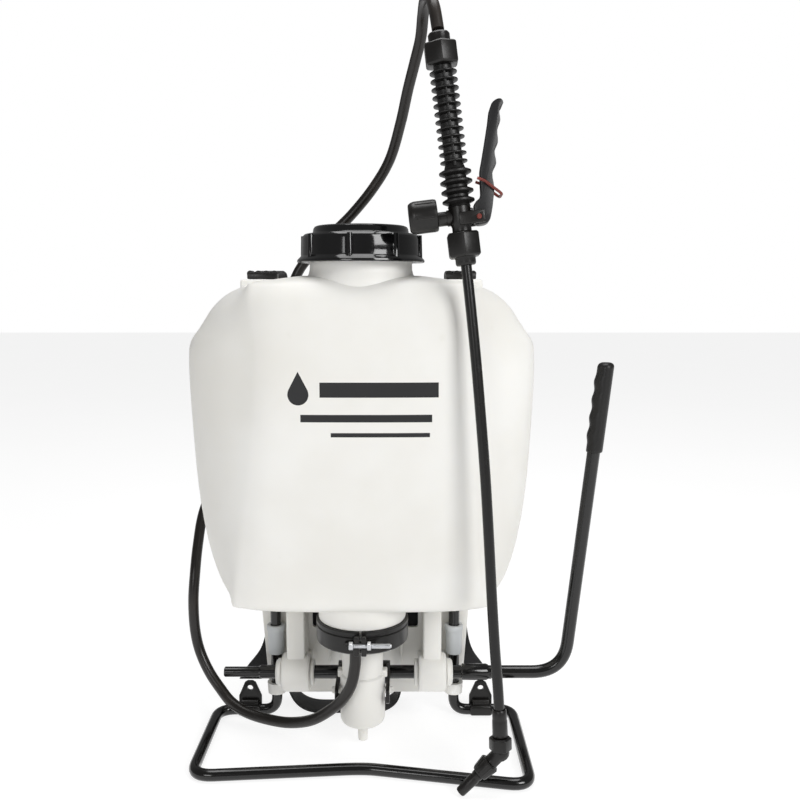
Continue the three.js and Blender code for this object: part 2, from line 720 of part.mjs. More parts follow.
function shoulderStrap(side) {
  const x = (share) => side * (anchorX + (strapEndX - anchorX) * share);
  const z = (share) => tankTop - share * (tankTop - strapEndZ);
  const points = [[x(0), lugBack - 3.4, tankTop + 3], [x(0), lugBack + 36, tankTop + 4.5],
    [x(0), tankBack - 10, tankTop + 5], [x(0), tankBack + 12, tankTop + 1], [x(0.05), tankBack + 25.5, z(0.04)],
    [x(0.1), tankBack + 34, z(0.115)], [x(0.25), tankBack + 46, z(0.25)], [x(0.45), tankBack + 56, z(0.445)],
    [x(0.65), tankBack + 59, z(0.64)], [x(0.85), tankBack + 54, z(0.83)], [x(1), tankBack + 42, strapEndZ]];
  const thickness = (t) => 3.2 + (padThickness - 3.2) * THREE.MathUtils.smoothstep(t, 0.22, 0.36)
    * (1 - 0.5 * THREE.MathUtils.smoothstep(t, 0.93, 1));
  const width = (t) => 28 + (padWidth - 28) * THREE.MathUtils.smoothstep(t, 0.2, 0.4)
    * (1 - 0.45 * THREE.MathUtils.smoothstep(t, 0.86, 1));
  return band(points, width, thickness, 22);
}

function lowerWebbing(side) {
  const x = side * bracketX;
  const drape = (inward) => x - side * inward;
  const points = [[drape(2), tankBack + 40.5, strapEndZ - 7], [drape(14), tankBack + 30, 128],
    [drape(24), standBack + 61, 92], [drape(20), standBack + 38, 62], [drape(7), standBack + 20, 47],
    [x, standBack + 6, 38]];
  return band(points, () => webbingWidth, () => 2.4, 12);
}

function lumbarPad() {
  const rings = [];
  for (const [z, x, grow] of [[50, 70, -3], [54, 80, 0], [95, 86, 3], [138, 82, 0], [143, 72, -3]]) {
    const [front, back] = [skirtFront + skirtThickness + 2 - Math.min(grow, 0), skirtFront + 23 + grow];
    rings.push([[-x, front + 4], [-x + 6, front], [x - 6, front], [x, front + 4], [x, back - 4], [x - 8, back],
      [-x + 8, back], [-x, back - 4]].map(([u, v]) => new THREE.Vector3(u, v, z)));
  }
  return loft(rings);
}

function waistStrap() {
  const [low, high] = [skirtFront + 3, skirtFront + 26];
  const points = [[-91, high, 46], [-88, high - 2, 26], [-78, high - 11, 9.5], [-60, low, 4.6],
    [-15, low - 1, 4.4], [18, low, 4.6], [34, high - 11, 9.5], [40, high - 2, 26], [42, high, 46]];
  return band(points, () => 32, () => 6, 20, new THREE.Vector3(0, 1, 0));
}

// ---------- Hose ----------

const hoseTop = [72, 15, 694];
const hosePoints = [
  [-5.5, 27, 111.6], [-6, 26.6, 98], [-10, 27, 78], [-19, 31.5, 61], [-32.5, 38.5, 46], [-51, 47, 32],
  [-75, 60, 22.5], [-97, 71, 20], [-119, 80, 22], [-131, 86, 25], [-143, 94, 30], [-155, 103, 40],
  [-168, 111, 55], [-179, 117.5, 76], [-184, 120, 98], [-185.5, 122, 131], [-184.5, 128, 158], [-184, 144, 187],
  [-181, 164, 219], [-167, 180.5, 255], [-143, 186.5, 298], [-121, 186.8, 345], [-104, 186.8, 395],
  [-89, 187.5, 445], [-73, 189, 487], [-45, 188.5, 518], [-16, 184, 545], [10, 175, 575], [27, 166, 602],
  [39, 148, 638], [46.5, 130, 668], [53.5, 114, 692], [58.5, 101, 710], [60.3, 84.7, 726.7], [61.8, 63, 734.6],
  [64.9, 40.2, 730.6], [68.6, 22.7, 715.8], hoseTop,
];

// ---------- Wand ----------

// The wand's valve is built upright on its own axis, then leaned as the wand stands.
const wand = new THREE.Group();
const wandFoot = new THREE.Vector3(97.6, -0.4, 488);
const wandHead = new THREE.Vector3(...hoseTop);
const wandUp = wandHead.clone().sub(wandFoot).normalize();
const wandFace = new THREE.Vector3(0, wandUp.z, -wandUp.y).normalize();
const wandSide = new THREE.Vector3().crossVectors(wandFace, wandUp).normalize();
const wandBasis = new THREE.Matrix4().makeBasis(wandSide, wandFace, wandUp);
wand.quaternion.setFromRotationMatrix(wandBasis);
wand.position.copy(wandFoot);

const wandLength = wandHead.distanceTo(wandFoot);
const nutTop = wandLength - 3;
const pivot = [15.7, 39.1];
const pivotRadius = 2.3;
const clipPivot = [24, 70];

function hoseNut() {
  const hex = turned([[0, nutTop - 29], [15.4, nutTop - 29], [16.2, nutTop - 27], [16.2, nutTop - 11],
    [15.4, nutTop - 9], [10, nutTop - 8.6], [0, nutTop - 8.6]], [0, 0], 6);
  const collar = turned([[0, nutTop - 10], [9.8, nutTop - 10], [9.8, nutTop - 2], [8.6, nutTop], [0, nutTop]],
    [0, 0], 24);
  const bore = rod([0, 0, nutTop - 33], [0, 0, nutTop - 20], 7.2, 7.2, 24);
  return cut(joined(hex, collar), bore);
}

function valveGrip() {
  const profile = [[0, 51], [11, 51]];
  for (const ring of [56, 64.5, 73, 81.5]) {
    profile.push([14.6, ring - 1.6], [14.6, ring + 1.6], [11, ring + 3.4]);
  }
  const firstRib = 91;
  for (let i = 0; i < ribCount; i++) {
    const z = firstRib + i * ribPitch;
    profile.push([ribRadius, z - 1.2], [ribRadius, z + 1.2], [gripRadius, z + ribPitch / 2]);
  }
  const top = nutTop - 29 - gap;
  profile.push([gripRadius, top], [6.6, top], [6.6, top + 7], [0, top + 7]);
  const bore = rod([0, 0, 40], [0, 0, 68], 7.2, 7.2, 24);
  return cut(turned(profile, [0, 0], 14), bore);
}

function valveBody() {
  const column = rod([0, 0, 28.2], [0, 0, 50.6], 8.6, 10, 28);
  const spigot = rod([0, 0, 50], [0, 0, 67], 6.6, 6.6, 24);
  const barrel = rod([-20, 0, 42], [4, 0, 42], 6.4, 6.4, 24);
  const ears = [-1, 1].map((side) => {
    const [low, high] = side < 0 ? [-11.6, -8.5] : [8.5, 11.6];
    return block([-2, low, 33.5], [21, high, 45]);
  });
  const chest = block([-2, -11.6, 33.5], [7.2, 11.6, 45]);
  const pinBore = rod([-4, 0, 47.2], [16, 0, 47.2], 2 + slip, 2 + slip, 16);
  const pivotBore = rod([pivot[0], -14, pivot[1]], [pivot[0], 14, pivot[1]],
    pivotRadius + gap, pivotRadius + gap, 16);
  const springBore = rod([-30, 0, 42], [-4, 0, 42], 4.6, 4.6, 20);
  return cut(joined(column, spigot, barrel, ...ears, chest), pinBore, pivotBore, springBore);
}

function valveCap() {
  const profile = [[4, 0], [13.6, 0], [14.6, 3], [14.6, 20], [12.6, 25.5], [4, 25.5], [4, 21], [8, 21],
    [8, 4], [4, 4]];
  const points = profile.map(([r, z]) => new THREE.Vector2(r, z));
  points.push(points[0].clone());
  const geometry = new THREE.LatheGeometry(points, 12);
  geometry.rotateZ(Math.PI / 2);
  geometry.translate(-20 + 0.5 - 1, 0, 46);
  return solidOf(geometry);
}

function valveSpring() {
  const turns = 3;
  const points = [];
  for (let i = 0; i <= turns * 8; i++) {
    const angle = (i / 8) * 2 * Math.PI;
    points.push([-18.5 + (i / (turns * 8)) * 13, 3.4 * Math.cos(angle), 42 + 3.4 * Math.sin(angle)]);
  }
  return bar(smoothPath(points), 0.5, 5, turns * 8);
}

// Outline of the trigger's side, from the finger end down to the pivot and back up.
const triggerOutline = [
  [38.4, 136.4], [33.8, 121], [29, 104], [24.6, 89], [22, 80], [21, 68], [19.5, 57], [13.2, 51.2], [12.6, 44],
  [10.6, 40], [11.6, 34.6], [16, 32.6], [24, 34], [27.6, 42], [30.6, 54], [32.4, 63], [32.2, 76], [36.6, 84],
  [36.4, 94.6], [40.2, 102], [41, 113], [44.6, 121], [44.9, 130], [49.1, 136], [47.6, 139.6], [44, 140],
];

function trigger() {
  const half = triggerHalfWidth;
  const body = plateAcross(triggerOutline, -half, half, "y");
  const hollow = plateAcross([[36, 134], [20, 88], [14, 60], [24, 56], [28, 76], [32.4, 96], [37.4, 120],
    [41.6, 134]], -half + 2.4, half - 2.4, "y");
  const bore = rod([pivot[0], -14, pivot[1]], [pivot[0], 14, pivot[1]], pivotRadius + gap, pivotRadius + gap, 16);
  const clipBore = rod([clipPivot[0], -14, clipPivot[1]], [clipPivot[0], 14, clipPivot[1]], 1.9, 1.9, 12);
  return cut(body, hollow, bore, clipBore);
}

function lockClip() {
  const y = triggerHalfWidth + 1.6;
  const [px, pz] = clipPivot;
  const pin = rod([px, -y, pz], [px, y, pz], 1.3, 1.3, 6);
  const arms = [-1, 1].map((side) => joined(
    rod([px - 6, side * y, pz + 3], [px, side * y, pz], 1.3, 1.3, 6),
    rod([px, side * y, pz], [38.2, side * y, 56.5], 1.3, 1.3, 6),
  ));
  const cross = rod([38.2, -y, 56.5], [38.2, y, 56.5], 1.3, 1.3, 6);
  return joined(pin, cross, ...arms);
}

function lanceNut() {
  const hex = turned([[0, 5.8], [15, 5.8], [16, 7.4], [16, 26.2], [15, 27.9], [0, 27.9]], [0, 0], 6);
  const skirt = turned([[0, -1.4], [8.6, -1.4], [9.2, 0], [9.2, 6.4], [0, 6.4]], [0, 0], 28);
  const bore = rod([0, 0, -3], [0, 0, 20], lanceRadius + gap, lanceRadius + gap, 24);
  return cut(joined(hex, skirt), bore);
}

const lancePoints = [[101.3, -2.8, 455.6], [106.9, -6.9, 401.7], [111.7, -10.9, 347.5], [116, -15, 293],
  [119.4, -19.1, 238], [122.4, -23.3, 183], [125.4, -26.8, 136.5], [128.4, -29.8, 99]];
const collarTop = [129.6, -31, 82];
const collarBottom = [130.6, -33, 56];
const elbowCentre = [131, -34, 41];
const nozzleTipEnd = [93.6, -37.4, 3.6];
const along = (a, b, share) => a.map((value, i) => value + (b[i] - value) * share);
const nozzleLength = new THREE.Vector3(...elbowCentre).distanceTo(new THREE.Vector3(...nozzleTipEnd));
const nozzlePoint = (distance) => along(elbowCentre, nozzleTipEnd, distance / nozzleLength);

function lanceTube() {
  const start = wandFoot.clone().addScaledVector(wandUp, 15);
  return bar(smoothPath([start.toArray(), wandFoot.toArray(), ...lancePoints, along(collarTop, collarBottom, 0.5)]),
    lanceRadius, 10, 16);
}

function lanceCollar() {
  const body = rod(along(collarTop, collarBottom, 0.02), collarBottom, 6.4, 7.2, 24);
  const bore = rod(along(collarTop, collarBottom, -0.2), along(collarTop, collarBottom, 0.62),
    lanceRadius + 2 * gap, lanceRadius + 2 * gap, 24);
  return cut(body, bore);
}

function nozzleElbow() {
  const top = along(collarBottom, elbowCentre, 0.03);
  const hexEnd = along(collarBottom, elbowCentre, 0.85);
  const hex = rod(top, hexEnd, 10.6, 10.6, 6);
  const knuckle = new THREE.SphereGeometry(8.2, 12, 8);
  knuckle.translate(...elbowCentre);
  const stub = rod(elbowCentre, nozzlePoint(12.5), 6.6, 6.6, 20);
  const neck = rod(nozzlePoint(11), nozzlePoint(21), 3.4, 3.4, 16);
  return joined(hex, solidOf(knuckle), stub, neck);
}

function nozzleNut() {
  const body = rod(nozzlePoint(13), nozzlePoint(28), 9.2, 7.2, 12);
  const bore = rod(nozzlePoint(10), nozzlePoint(30), 3.4 + gap, 3.4 + gap, 16);
  return cut(body, bore);
}

function nozzleTip() {
  const body = rod(nozzlePoint(28.4), nozzlePoint(nozzleLength), 5.4, 4.6, 12);
  const bore = rod(nozzlePoint(40), nozzlePoint(nozzleLength + 5), 1.4, 1.4, 12);
  return cut(body, bore);
}

// ---------- The assembly ----------

add("tank_shell", tankShell(), tankWhite);
add("tank_neck", tankNeck(), tankWhite);
add("strainer_basket", strainerBasket(), mattBlack);
add("cap_gasket", capGasket(), rubber);
add("tank_cap", tankCap(), glossBlack);
add("cap_vent_valve", ventValve(), rubber);

add("clamp_half_left", clampHalf(-1), mattBlack);
add("clamp_half_right", clampHalf(1), mattBlack);
add("clamp_bolt_front", clampBolt(-1), steel);
add("clamp_bolt_back", clampBolt(1), steel);
add("clamp_nut_front", clampNut(-1), steel);
add("clamp_nut_back", clampNut(1), steel);

add("pump_head", pumpHead(), mattBlack);
add("pump_barrel", pumpBarrel(), mattBlack);
add("pressure_chamber", pressureChamber(), mattBlack);
add("pump_cylinder", pumpCylinder(), skirtWhite);
add("piston_seal", pistonSeal(), rubber);
add("intake_valve", mushroomValve(cylinderTop + gap * 2 + 6.2, 3.8, 5, 12), rubber);
add("delivery_valve", mushroomValve(headTop + 2 * gap + barrelHeight, 5.5, 2, 14), rubber);
add("base_skirt", baseSkirt(), skirtWhite);
add("pump_shaft", pumpShaft(), enamelBlack);
add("crank_yoke", crankYoke(), linkAmber);
add("handle_tube", handleTube(), enamelBlack);
add("handle_grip", handleGrip(), mattBlack);
add("stand_tube", standTube(), enamelBlack);

for (const [side, name] of [[-1, "left"], [1, "right"]]) {
  add("bushing_" + name, bushing(side), skirtWhite);
  add("washer_" + name, washer(side), skirtWhite);
  add("tube_clip_" + name, tubeClip(side), sleeveGrey);
  add("strap_bracket_" + name, strapBracket(side), mattBlack);
  add("strap_anchor_" + name, strapAnchor(side), mattBlack);
  add("shoulder_strap_" + name, shoulderStrap(side), webbing);
  add("lower_webbing_" + name, lowerWebbing(side), webbing);
}
add("lumbar_pad", lumbarPad(), webbing);
add("waist_strap", waistStrap(), webbing);

add("hose", bar(smoothPath(hosePoints), hoseRadius, 8, 70), rubber);

add("hose_nut", hoseNut(), mattBlack, wand);
add("valve_grip", valveGrip(), mattBlack, wand);
add("valve_body", valveBody(), mattBlack, wand);
add("valve_cap", valveCap(), mattBlack, wand);
add("valve_spring", valveSpring(), steel, wand);
add("valve_pin", rod([-1.6, 0, 47.2], [11.8, 0, 47.2], 2, 2, 14), chromeSteel, wand);
add("trigger", trigger(), triggerGrey, wand);
add("trigger_pivot", rod([pivot[0], -12.8, pivot[1]], [pivot[0], 12.8, pivot[1]], pivotRadius, pivotRadius, 16),
  lockRed, wand);
add("lock_clip", lockClip(), lockRed, wand);
add("lance_nut", lanceNut(), mattBlack, wand);
sprayer.add(wand);
add("lance_tube", lanceTube(), mattBlack);
add("lance_collar", lanceCollar(), mattBlack);
add("nozzle_elbow", nozzleElbow(), mattBlack);
add("nozzle_nut", nozzleNut(), mattBlack);
add("nozzle_tip", nozzleTip(), mattBlack);

export default sprayer;
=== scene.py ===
# %% [markdown]
# # A backpack sprayer, step by step
# This file builds the visible model of a lever-pumped backpack sprayer around a fixed frame.
# The frame already holds every part at its real size and place, so each new piece is made where
# the frame says and then told which moving body it rides on. Lengths are written in millimetres,
# as a maker would, and turned to metres by one factor.

# %% Load the frame
import json
import math
import bmesh
import bpy
from mathutils import Matrix, Vector


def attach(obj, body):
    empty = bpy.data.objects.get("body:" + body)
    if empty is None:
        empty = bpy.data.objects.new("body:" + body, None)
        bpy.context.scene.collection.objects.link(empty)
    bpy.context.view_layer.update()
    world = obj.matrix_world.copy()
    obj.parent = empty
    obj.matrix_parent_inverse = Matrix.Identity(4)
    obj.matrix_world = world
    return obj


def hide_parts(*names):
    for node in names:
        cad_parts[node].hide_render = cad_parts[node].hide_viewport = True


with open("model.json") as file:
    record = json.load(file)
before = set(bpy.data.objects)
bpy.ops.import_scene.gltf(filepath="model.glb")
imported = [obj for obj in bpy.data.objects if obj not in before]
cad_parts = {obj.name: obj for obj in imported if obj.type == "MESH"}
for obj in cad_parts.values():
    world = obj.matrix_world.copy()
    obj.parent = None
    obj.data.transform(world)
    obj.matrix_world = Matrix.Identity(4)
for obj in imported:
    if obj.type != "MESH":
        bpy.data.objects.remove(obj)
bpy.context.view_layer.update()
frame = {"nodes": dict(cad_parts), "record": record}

MM = 0.001
nodes = frame["nodes"]

# %% [markdown]
# ## Camera
# The camera comes first, because the hose is judged by how much of it the camera sees. It stands
# less than a metre in front of the sprayer, a little to the handle side, and looks slightly down.

# %% Camera
scene = bpy.context.scene
scene.view_settings.view_transform = "Standard"
bpy.ops.object.camera_add(location=(0.0382, -0.819, 0.465), rotation=(math.radians(83), 0, 0))
camera = bpy.context.object
camera.data.lens = 40.5
camera.data.sensor_width = 36
scene.camera = camera
print("camera at", [round(v, 3) for v in camera.location])

# %% [markdown]
# ## Small tools for the bench
# Blender's operators act on whatever is selected, so every tool first clears the selection and
# picks its own piece. Modifiers are applied at once, so that a piece is a plain mesh; only the
# hose stays a curve.

# %% Adding, picking, editing and applying
SIDES = ((-1, "left"), (1, "right"))


def link(name, data):
    piece = bpy.data.objects.new(name, data)
    scene.collection.objects.link(piece)
    return piece


def mesh_piece(name, points, edges, faces):
    """A new mesh from points in metres."""
    mesh = bpy.data.meshes.new(name)
    mesh.from_pydata(points, edges, faces)
    return link(name, mesh)


def primitive(name, operator, **settings):
    """One of Blender's own shapes under a new name."""
    bpy.ops.object.select_all(action="DESELECT")
    operator(**settings)
    piece = bpy.context.object
    piece.name = piece.data.name = name
    return piece


def pick(piece):
    if bpy.context.object and bpy.context.object.mode != "OBJECT":
        bpy.ops.object.mode_set(mode="OBJECT")
    bpy.ops.object.select_all(action="DESELECT")
    piece.select_set(True)
    bpy.context.view_layer.objects.active = piece


def edit(piece, *steps):
    """Runs each step in edit mode with everything selected."""
    pick(piece)
    bpy.ops.object.mode_set(mode="EDIT")
    select_everything()
    for step in steps:
        step()
    bpy.ops.object.mode_set(mode="OBJECT")
    return piece


def modify(piece, kind, **settings):
    pick(piece)
    step = piece.modifiers.new(kind.title(), kind)
    for name, value in settings.items():
        setattr(step, name, value)
    bpy.ops.object.modifier_apply(modifier=step.name)
    return piece


def settle(piece):
    """Moves the object's place into its mesh."""
    piece.data.transform(piece.matrix_basis)
    piece.matrix_basis = Matrix()


def mirrored(side, low, high):
    """Two distances from the middle as the low and high value on one side."""
    return sorted((side * low, side * high))


def select_everything():
    bpy.ops.mesh.select_all(action="SELECT")


def merge():
    bpy.ops.mesh.remove_doubles(threshold=1e-6)


def face_out():
    bpy.ops.mesh.normals_make_consistent(inside=False)


def close_ends():
    bpy.ops.mesh.fill_holes(sides=0)


def round_edges(piece, width, segments=2, angle=32):
    return modify(piece, "BEVEL", width=width * MM, segments=segments, limit_method="ANGLE",
                  angle_limit=math.radians(angle), harden_normals=False)


def boolean(piece, operation, others):
    for other in others:
        modify(piece, "BOOLEAN", operation=operation, object=other, solver="EXACT")
        bpy.data.objects.remove(other)
    return piece


def unite(piece, *others):
    return boolean(piece, "UNION", others)


def carve(piece, *tools):
    return boolean(piece, "DIFFERENCE", tools)


# %% [markdown]
# ## Four ways to make a shape
# - **turned**: a profile wire is spun about an axis, as on a lathe. Caps, pumps and nozzles.
# - **lofted**: the rows of a grid are laid on rings, as a skin over ribs. The tank, grips, pads.
# - **swept**: a round wire follows a path. The stand, the handle, the lance.
# - **plate** and **block**: an outline or a cube is extruded and its edges are rounded.

# %% Turned and rod
def turned(name, profile, at=(0, 0), steps=56):
    """A [radius, height] profile in millimetres, spun about a vertical axis at X, Y."""
    count = len(profile)
    closed = profile[0][0] > 0 or profile[-1][0] > 0
    edges = [(i, (i + 1) % count) for i in range(count if closed else count - 1)]
    piece = mesh_piece(name, [(r * MM, 0, z * MM) for r, z in profile], edges, [])

    def spin():
        bpy.ops.mesh.spin(steps=steps, angle=2 * math.pi, center=(0, 0, 0), axis=(0, 0, 1))

    edit(piece, spin, select_everything, merge, bpy.ops.mesh.delete_loose, select_everything,
         close_ends, select_everything, face_out)
    piece.data.transform(Matrix.Translation((at[0] * MM, at[1] * MM, 0)))
    return piece


def aim(start, end):
    """The matrix that carries the vertical axis onto the line from start to end."""
    a, b = Vector(start) * MM, Vector(end) * MM
    return Matrix.Translation(a) @ (b - a).to_track_quat("Z", "Y").to_matrix().to_4x4()


def laid(piece, start, end):
    """Lays an upright piece along the line from start to end."""
    piece.data.transform(aim(start, end))
    return piece


def lathe_between(name, start, end, profile, steps=40):
    """A turned piece whose axis runs from start to end; heights are measured from start."""
    return laid(turned(name, profile, steps=steps), start, end)


def rod(name, start, end, radius, end_radius=None, sides=32):
    last = radius if end_radius is None else end_radius
    length = (Vector(end) - Vector(start)).length
    profile = [(0, 0), (radius, 0), (last, length), (0, length)]
    return lathe_between(name, start, end, profile, sides)


# %% Smooth lines, tubes and lofts
def smooth_line(points, per, closed=False):
    """A centripetal Catmull-Rom line through the points, with some steps on each stretch."""
    p = [Vector(q) for q in points]
    count = len(p)
    line = []
    for i in range(count if closed else count - 1):
        a = p[i - 1] if closed or i else 2 * p[0] - p[1]
        b, c = p[i], p[(i + 1) % count]
        d = p[(i + 2) % count] if closed or i + 2 < count else 2 * p[-1] - p[-2]
        t0, t1, t2 = [max((v - u).length, 1e-9) ** 0.5 for u, v in ((a, b), (b, c), (c, d))]
        m0 = ((b - a) / t0 - (c - a) / (t0 + t1) + (c - b) / t1) * t1
        m1 = ((c - b) / t1 - (d - b) / (t1 + t2) + (d - c) / t2) * t1
        for k in range(per):
            t = k / per
            line.append(b * (2 * t ** 3 - 3 * t ** 2 + 1) + m0 * (t ** 3 - 2 * t ** 2 + t)
                        + c * (3 * t ** 2 - 2 * t ** 3) + m1 * (t ** 3 - t ** 2))
    if not closed:
        line.append(p[-1])
    return line


def bent_line(corners, per=8):
    """A line through [point, rounding] corners, each rounded by a parabola."""
    line = [Vector(corners[0][0])]
    for before, (corner, rounding), after in zip(corners, corners[1:], corners[2:]):
        q = Vector(corner)
        entry = q + (Vector(before[0]) - q).normalized() * rounding
        leave = q + (Vector(after[0]) - q).normalized() * rounding
        for k in range(per + 1):
            t = k / per
            line.append(entry * (1 - t) ** 2 + q * (2 * t * (1 - t)) + leave * t ** 2)
    line.append(Vector(corners[-1][0]))
    return line


def curve_piece(name, line, radius, resolution=6):
    data = bpy.data.curves.new(name, "CURVE")
    data.dimensions = "3D"
    data.bevel_depth = radius * MM
    data.bevel_resolution = resolution
    data.use_fill_caps = True
    spline = data.splines.new("POLY")
    spline.points.add(len(line) - 1)
    for point, place in zip(spline.points, line):
        point.co = (*(Vector(place) * MM), 1)
    return link(name, data)


def swept(name, line, radius, resolution=6):
    pick(curve_piece(name, line, radius, resolution))
    bpy.ops.object.convert(target="MESH")
    return edit(bpy.context.object, merge, face_out)


def lofted(name, rings):
    """A skin over rings of equal counts, closed at both ends. Its UV map is in metres."""
    count = len(rings[0])
    piece = primitive(name, bpy.ops.mesh.primitive_grid_add, size=1, x_subdivisions=count,
                      y_subdivisions=len(rings) - 1)
    for index, vertex in enumerate(piece.data.vertices):
        row, place = divmod(index, count + 1)
        vertex.co = Vector(rings[row][place % count]) * MM
    girth = sum((Vector(a) - Vector(b)).length for a, b in zip(rings[-2], rings[-2][1:])) * MM
    length = sum((Vector(a[0]) - Vector(b[0])).length for a, b in zip(rings, rings[1:])) * MM
    for corner in piece.data.uv_layers[0].uv:
        corner.vector = (corner.vector[0] * girth, corner.vector[1] * length)
    return edit(piece, merge, close_ends, select_everything, face_out)


# %% Plates, blocks and hexagons
def plate(name, outline, low, high, thick="X"):
    """An outline of (Y, Z) with a thickness along X, or of (X, Z) with one along Y."""
    if thick == "X":
        points = [(low, u, v) for u, v in outline]
        push = (high - low, 0, 0)
    else:
        points = [(u, low, v) for u, v in outline]
        push = (0, high - low, 0)
    piece = mesh_piece(name, [Vector(p) * MM for p in points], [], [range(len(points))])

    def thicken():
        bpy.ops.mesh.extrude_region_move(TRANSFORM_OT_translate={"value": Vector(push) * MM})

    return edit(piece, thicken, select_everything, face_out)


def block(name, low, high, rounding=0.0, segments=2):
    low, high = Vector(low) * MM, Vector(high) * MM
    piece = primitive(name, bpy.ops.mesh.primitive_cube_add, size=1, location=(low + high) / 2)
    edit(piece, lambda: bpy.ops.transform.resize(value=high - low))
    settle(piece)
    return round_edges(piece, rounding, segments) if rounding else piece


def hexagon(name, radius, low, high, chamfer):
    """A six-sided nut: a short cylinder whose ends are pushed out and drawn in as chamfers."""
    middle, height = (low + high) / 2, high - low - 2 * chamfer
    piece = primitive(name, bpy.ops.mesh.primitive_cylinder_add, vertices=6, radius=radius * MM,
                      depth=height * MM, location=(0, 0, middle * MM))
    settle(piece)

    def chamfer_end(direction):
        mesh = bmesh.from_edit_mesh(piece.data)
        for face in mesh.faces:
            face.select_set(face.normal.z * direction > 0.9)
        bmesh.update_edit_mesh(piece.data)
        bpy.ops.mesh.extrude_region_move(
            TRANSFORM_OT_translate={"value": (0, 0, direction * chamfer * MM)})
        bpy.ops.transform.resize(value=(0.9, 0.9, 1))

    edit(piece, lambda: bpy.ops.mesh.select_all(action="DESELECT"), lambda: chamfer_end(1),
         lambda: chamfer_end(-1))
    return round_edges(piece, 0.5)


# %% [markdown]
# ## Shader maths as Python
# A Wire wraps one output socket, so that sums on it read like sums on numbers. A Finish is one
# material: its node method adds any other kind of node, settings first and then its sockets.

# %% Wire and Finish
class Wire:
    def __init__(self, finish, socket):
        self.finish, self.socket = finish, socket

    def __add__(self, other):
        return self.finish.sum("ADD", self, other)

    def __sub__(self, other):
        return self.finish.sum("SUBTRACT", self, other)

    def __rsub__(self, other):
        return self.finish.sum("SUBTRACT", other, self)

    def __mul__(self, other):
        return self.finish.sum("MULTIPLY", self, other)

    def __gt__(self, other):
        return self.finish.sum("GREATER_THAN", self, other)

    def __lt__(self, other):
        return self.finish.sum("LESS_THAN", self, other)

    __radd__ = __add__


class Finish:
    def __init__(self, name, **values):
        self.material = bpy.data.materials.new(name)
        self.material.use_nodes = True
        self.tree = self.material.node_tree
        self.shader = self.tree.nodes["Principled BSDF"]
        for key, value in values.items():
            self.shader.inputs[key.replace("_", " ")].default_value = value

    def node(self, kind, out=0, stops=(), sockets=(), **settings):
        made = self.tree.nodes.new("ShaderNode" + kind)
        for key, value in settings.items():
            setattr(made, key, value)
        for element, (place, colour) in zip(made.color_ramp.elements if stops else (), stops):
            element.position, element.color = place, (*colour, 1)
        for key, value in dict(sockets).items():
            if isinstance(value, Wire):
                self.tree.links.new(value.socket, made.inputs[key])
            else:
                made.inputs[key].default_value = value
        return Wire(self, made.outputs[out])

    def sum(self, operation, a, b):
        return self.node("Math", operation=operation, sockets={0: a, 1: b})

    def blend(self, mask, a, b):
        """Colour a where the mask is 0 and colour b where it is 1."""
        a, b = [c if isinstance(c, Wire) else (*c, 1) for c in (a, b)]
        return self.node("Mix", out=2, data_type="RGBA", sockets={0: mask, 6: a, 7: b})

    def place(self):
        return self.node("TexCoord", out="Object")

    def axes(self):
        cut = self.node("SeparateXYZ", sockets={0: self.place()})
        return cut, Wire(self, cut.socket.node.outputs[1]), Wire(self, cut.socket.node.outputs[2])

    def noise(self, scale, detail, stretch=(1, 1, 1)):
        spot = self.node("Mapping", sockets={"Vector": self.place(), "Scale": stretch})
        return self.node("TexNoise", sockets={"Vector": spot, "Scale": scale, "Detail": detail})

    def soften(self, value, low, high):
        return self.node("MapRange", interpolation_type="SMOOTHSTEP",
                         sockets={0: value, 1: low, 2: high, 3: 0.0, 4: 1.0})

    def edges(self):
        """1 on sharp convex edges, where a painted highlight pales the colour."""
        return self.soften(self.node("NewGeometry", out="Pointiness"), 0.54, 0.66)

    def feed(self, socket, value):
        self.tree.links.new(value.socket, self.shader.inputs[socket])

    def bump(self, height, depth, strength=1.0):
        """Raises the surface by the height, with its depth in millimetres."""
        sockets = {"Height": height, "Distance": depth * MM, "Strength": strength}
        self.feed("Normal", self.node("Bump", sockets=sockets))


# %% [markdown]
# ## Finishes
# Each finish starts from one colour and adds what the eye expects at that scale: cloudy wall
# thickness in blown polyethylene, orange peel in moulded plastic, brush lines on plated steel.

# %% White plastics
TANK_WHITE = (0.78, 0.765, 0.72)
TANK_PALE = (0.85, 0.842, 0.81)
INK = (0.012, 0.012, 0.013)
FINISHES = {}


def printed_mark(finish):
    """A plain drop and three plain bars, printed on the front of the tank."""
    x, y, z = finish.axes()

    def bar(left, right, low, high):
        return (x > left) * (x < right) * (z > low) * (z < high)

    def round_spot(cx, cz, radius):
        square = (x - cx) * (x - cx) + (z - cz) * (z - cz)
        return square < radius ** 2

    sides = finish.sum("ABSOLUTE", x + 0.056, 0) < (0.390 - z) * 0.52
    cone = (z > 0.372) * (z < 0.390) * sides
    drop = finish.sum("MAXIMUM", cone, round_spot(-0.056, 0.3685, 0.0098))
    bars = (bar(-0.036, 0.074, 0.366, 0.380) + bar(-0.054, 0.068, 0.343, 0.350)
            + bar(-0.026, 0.066, 0.329, 0.333))
    return (drop + bars) * (y < 0.03)


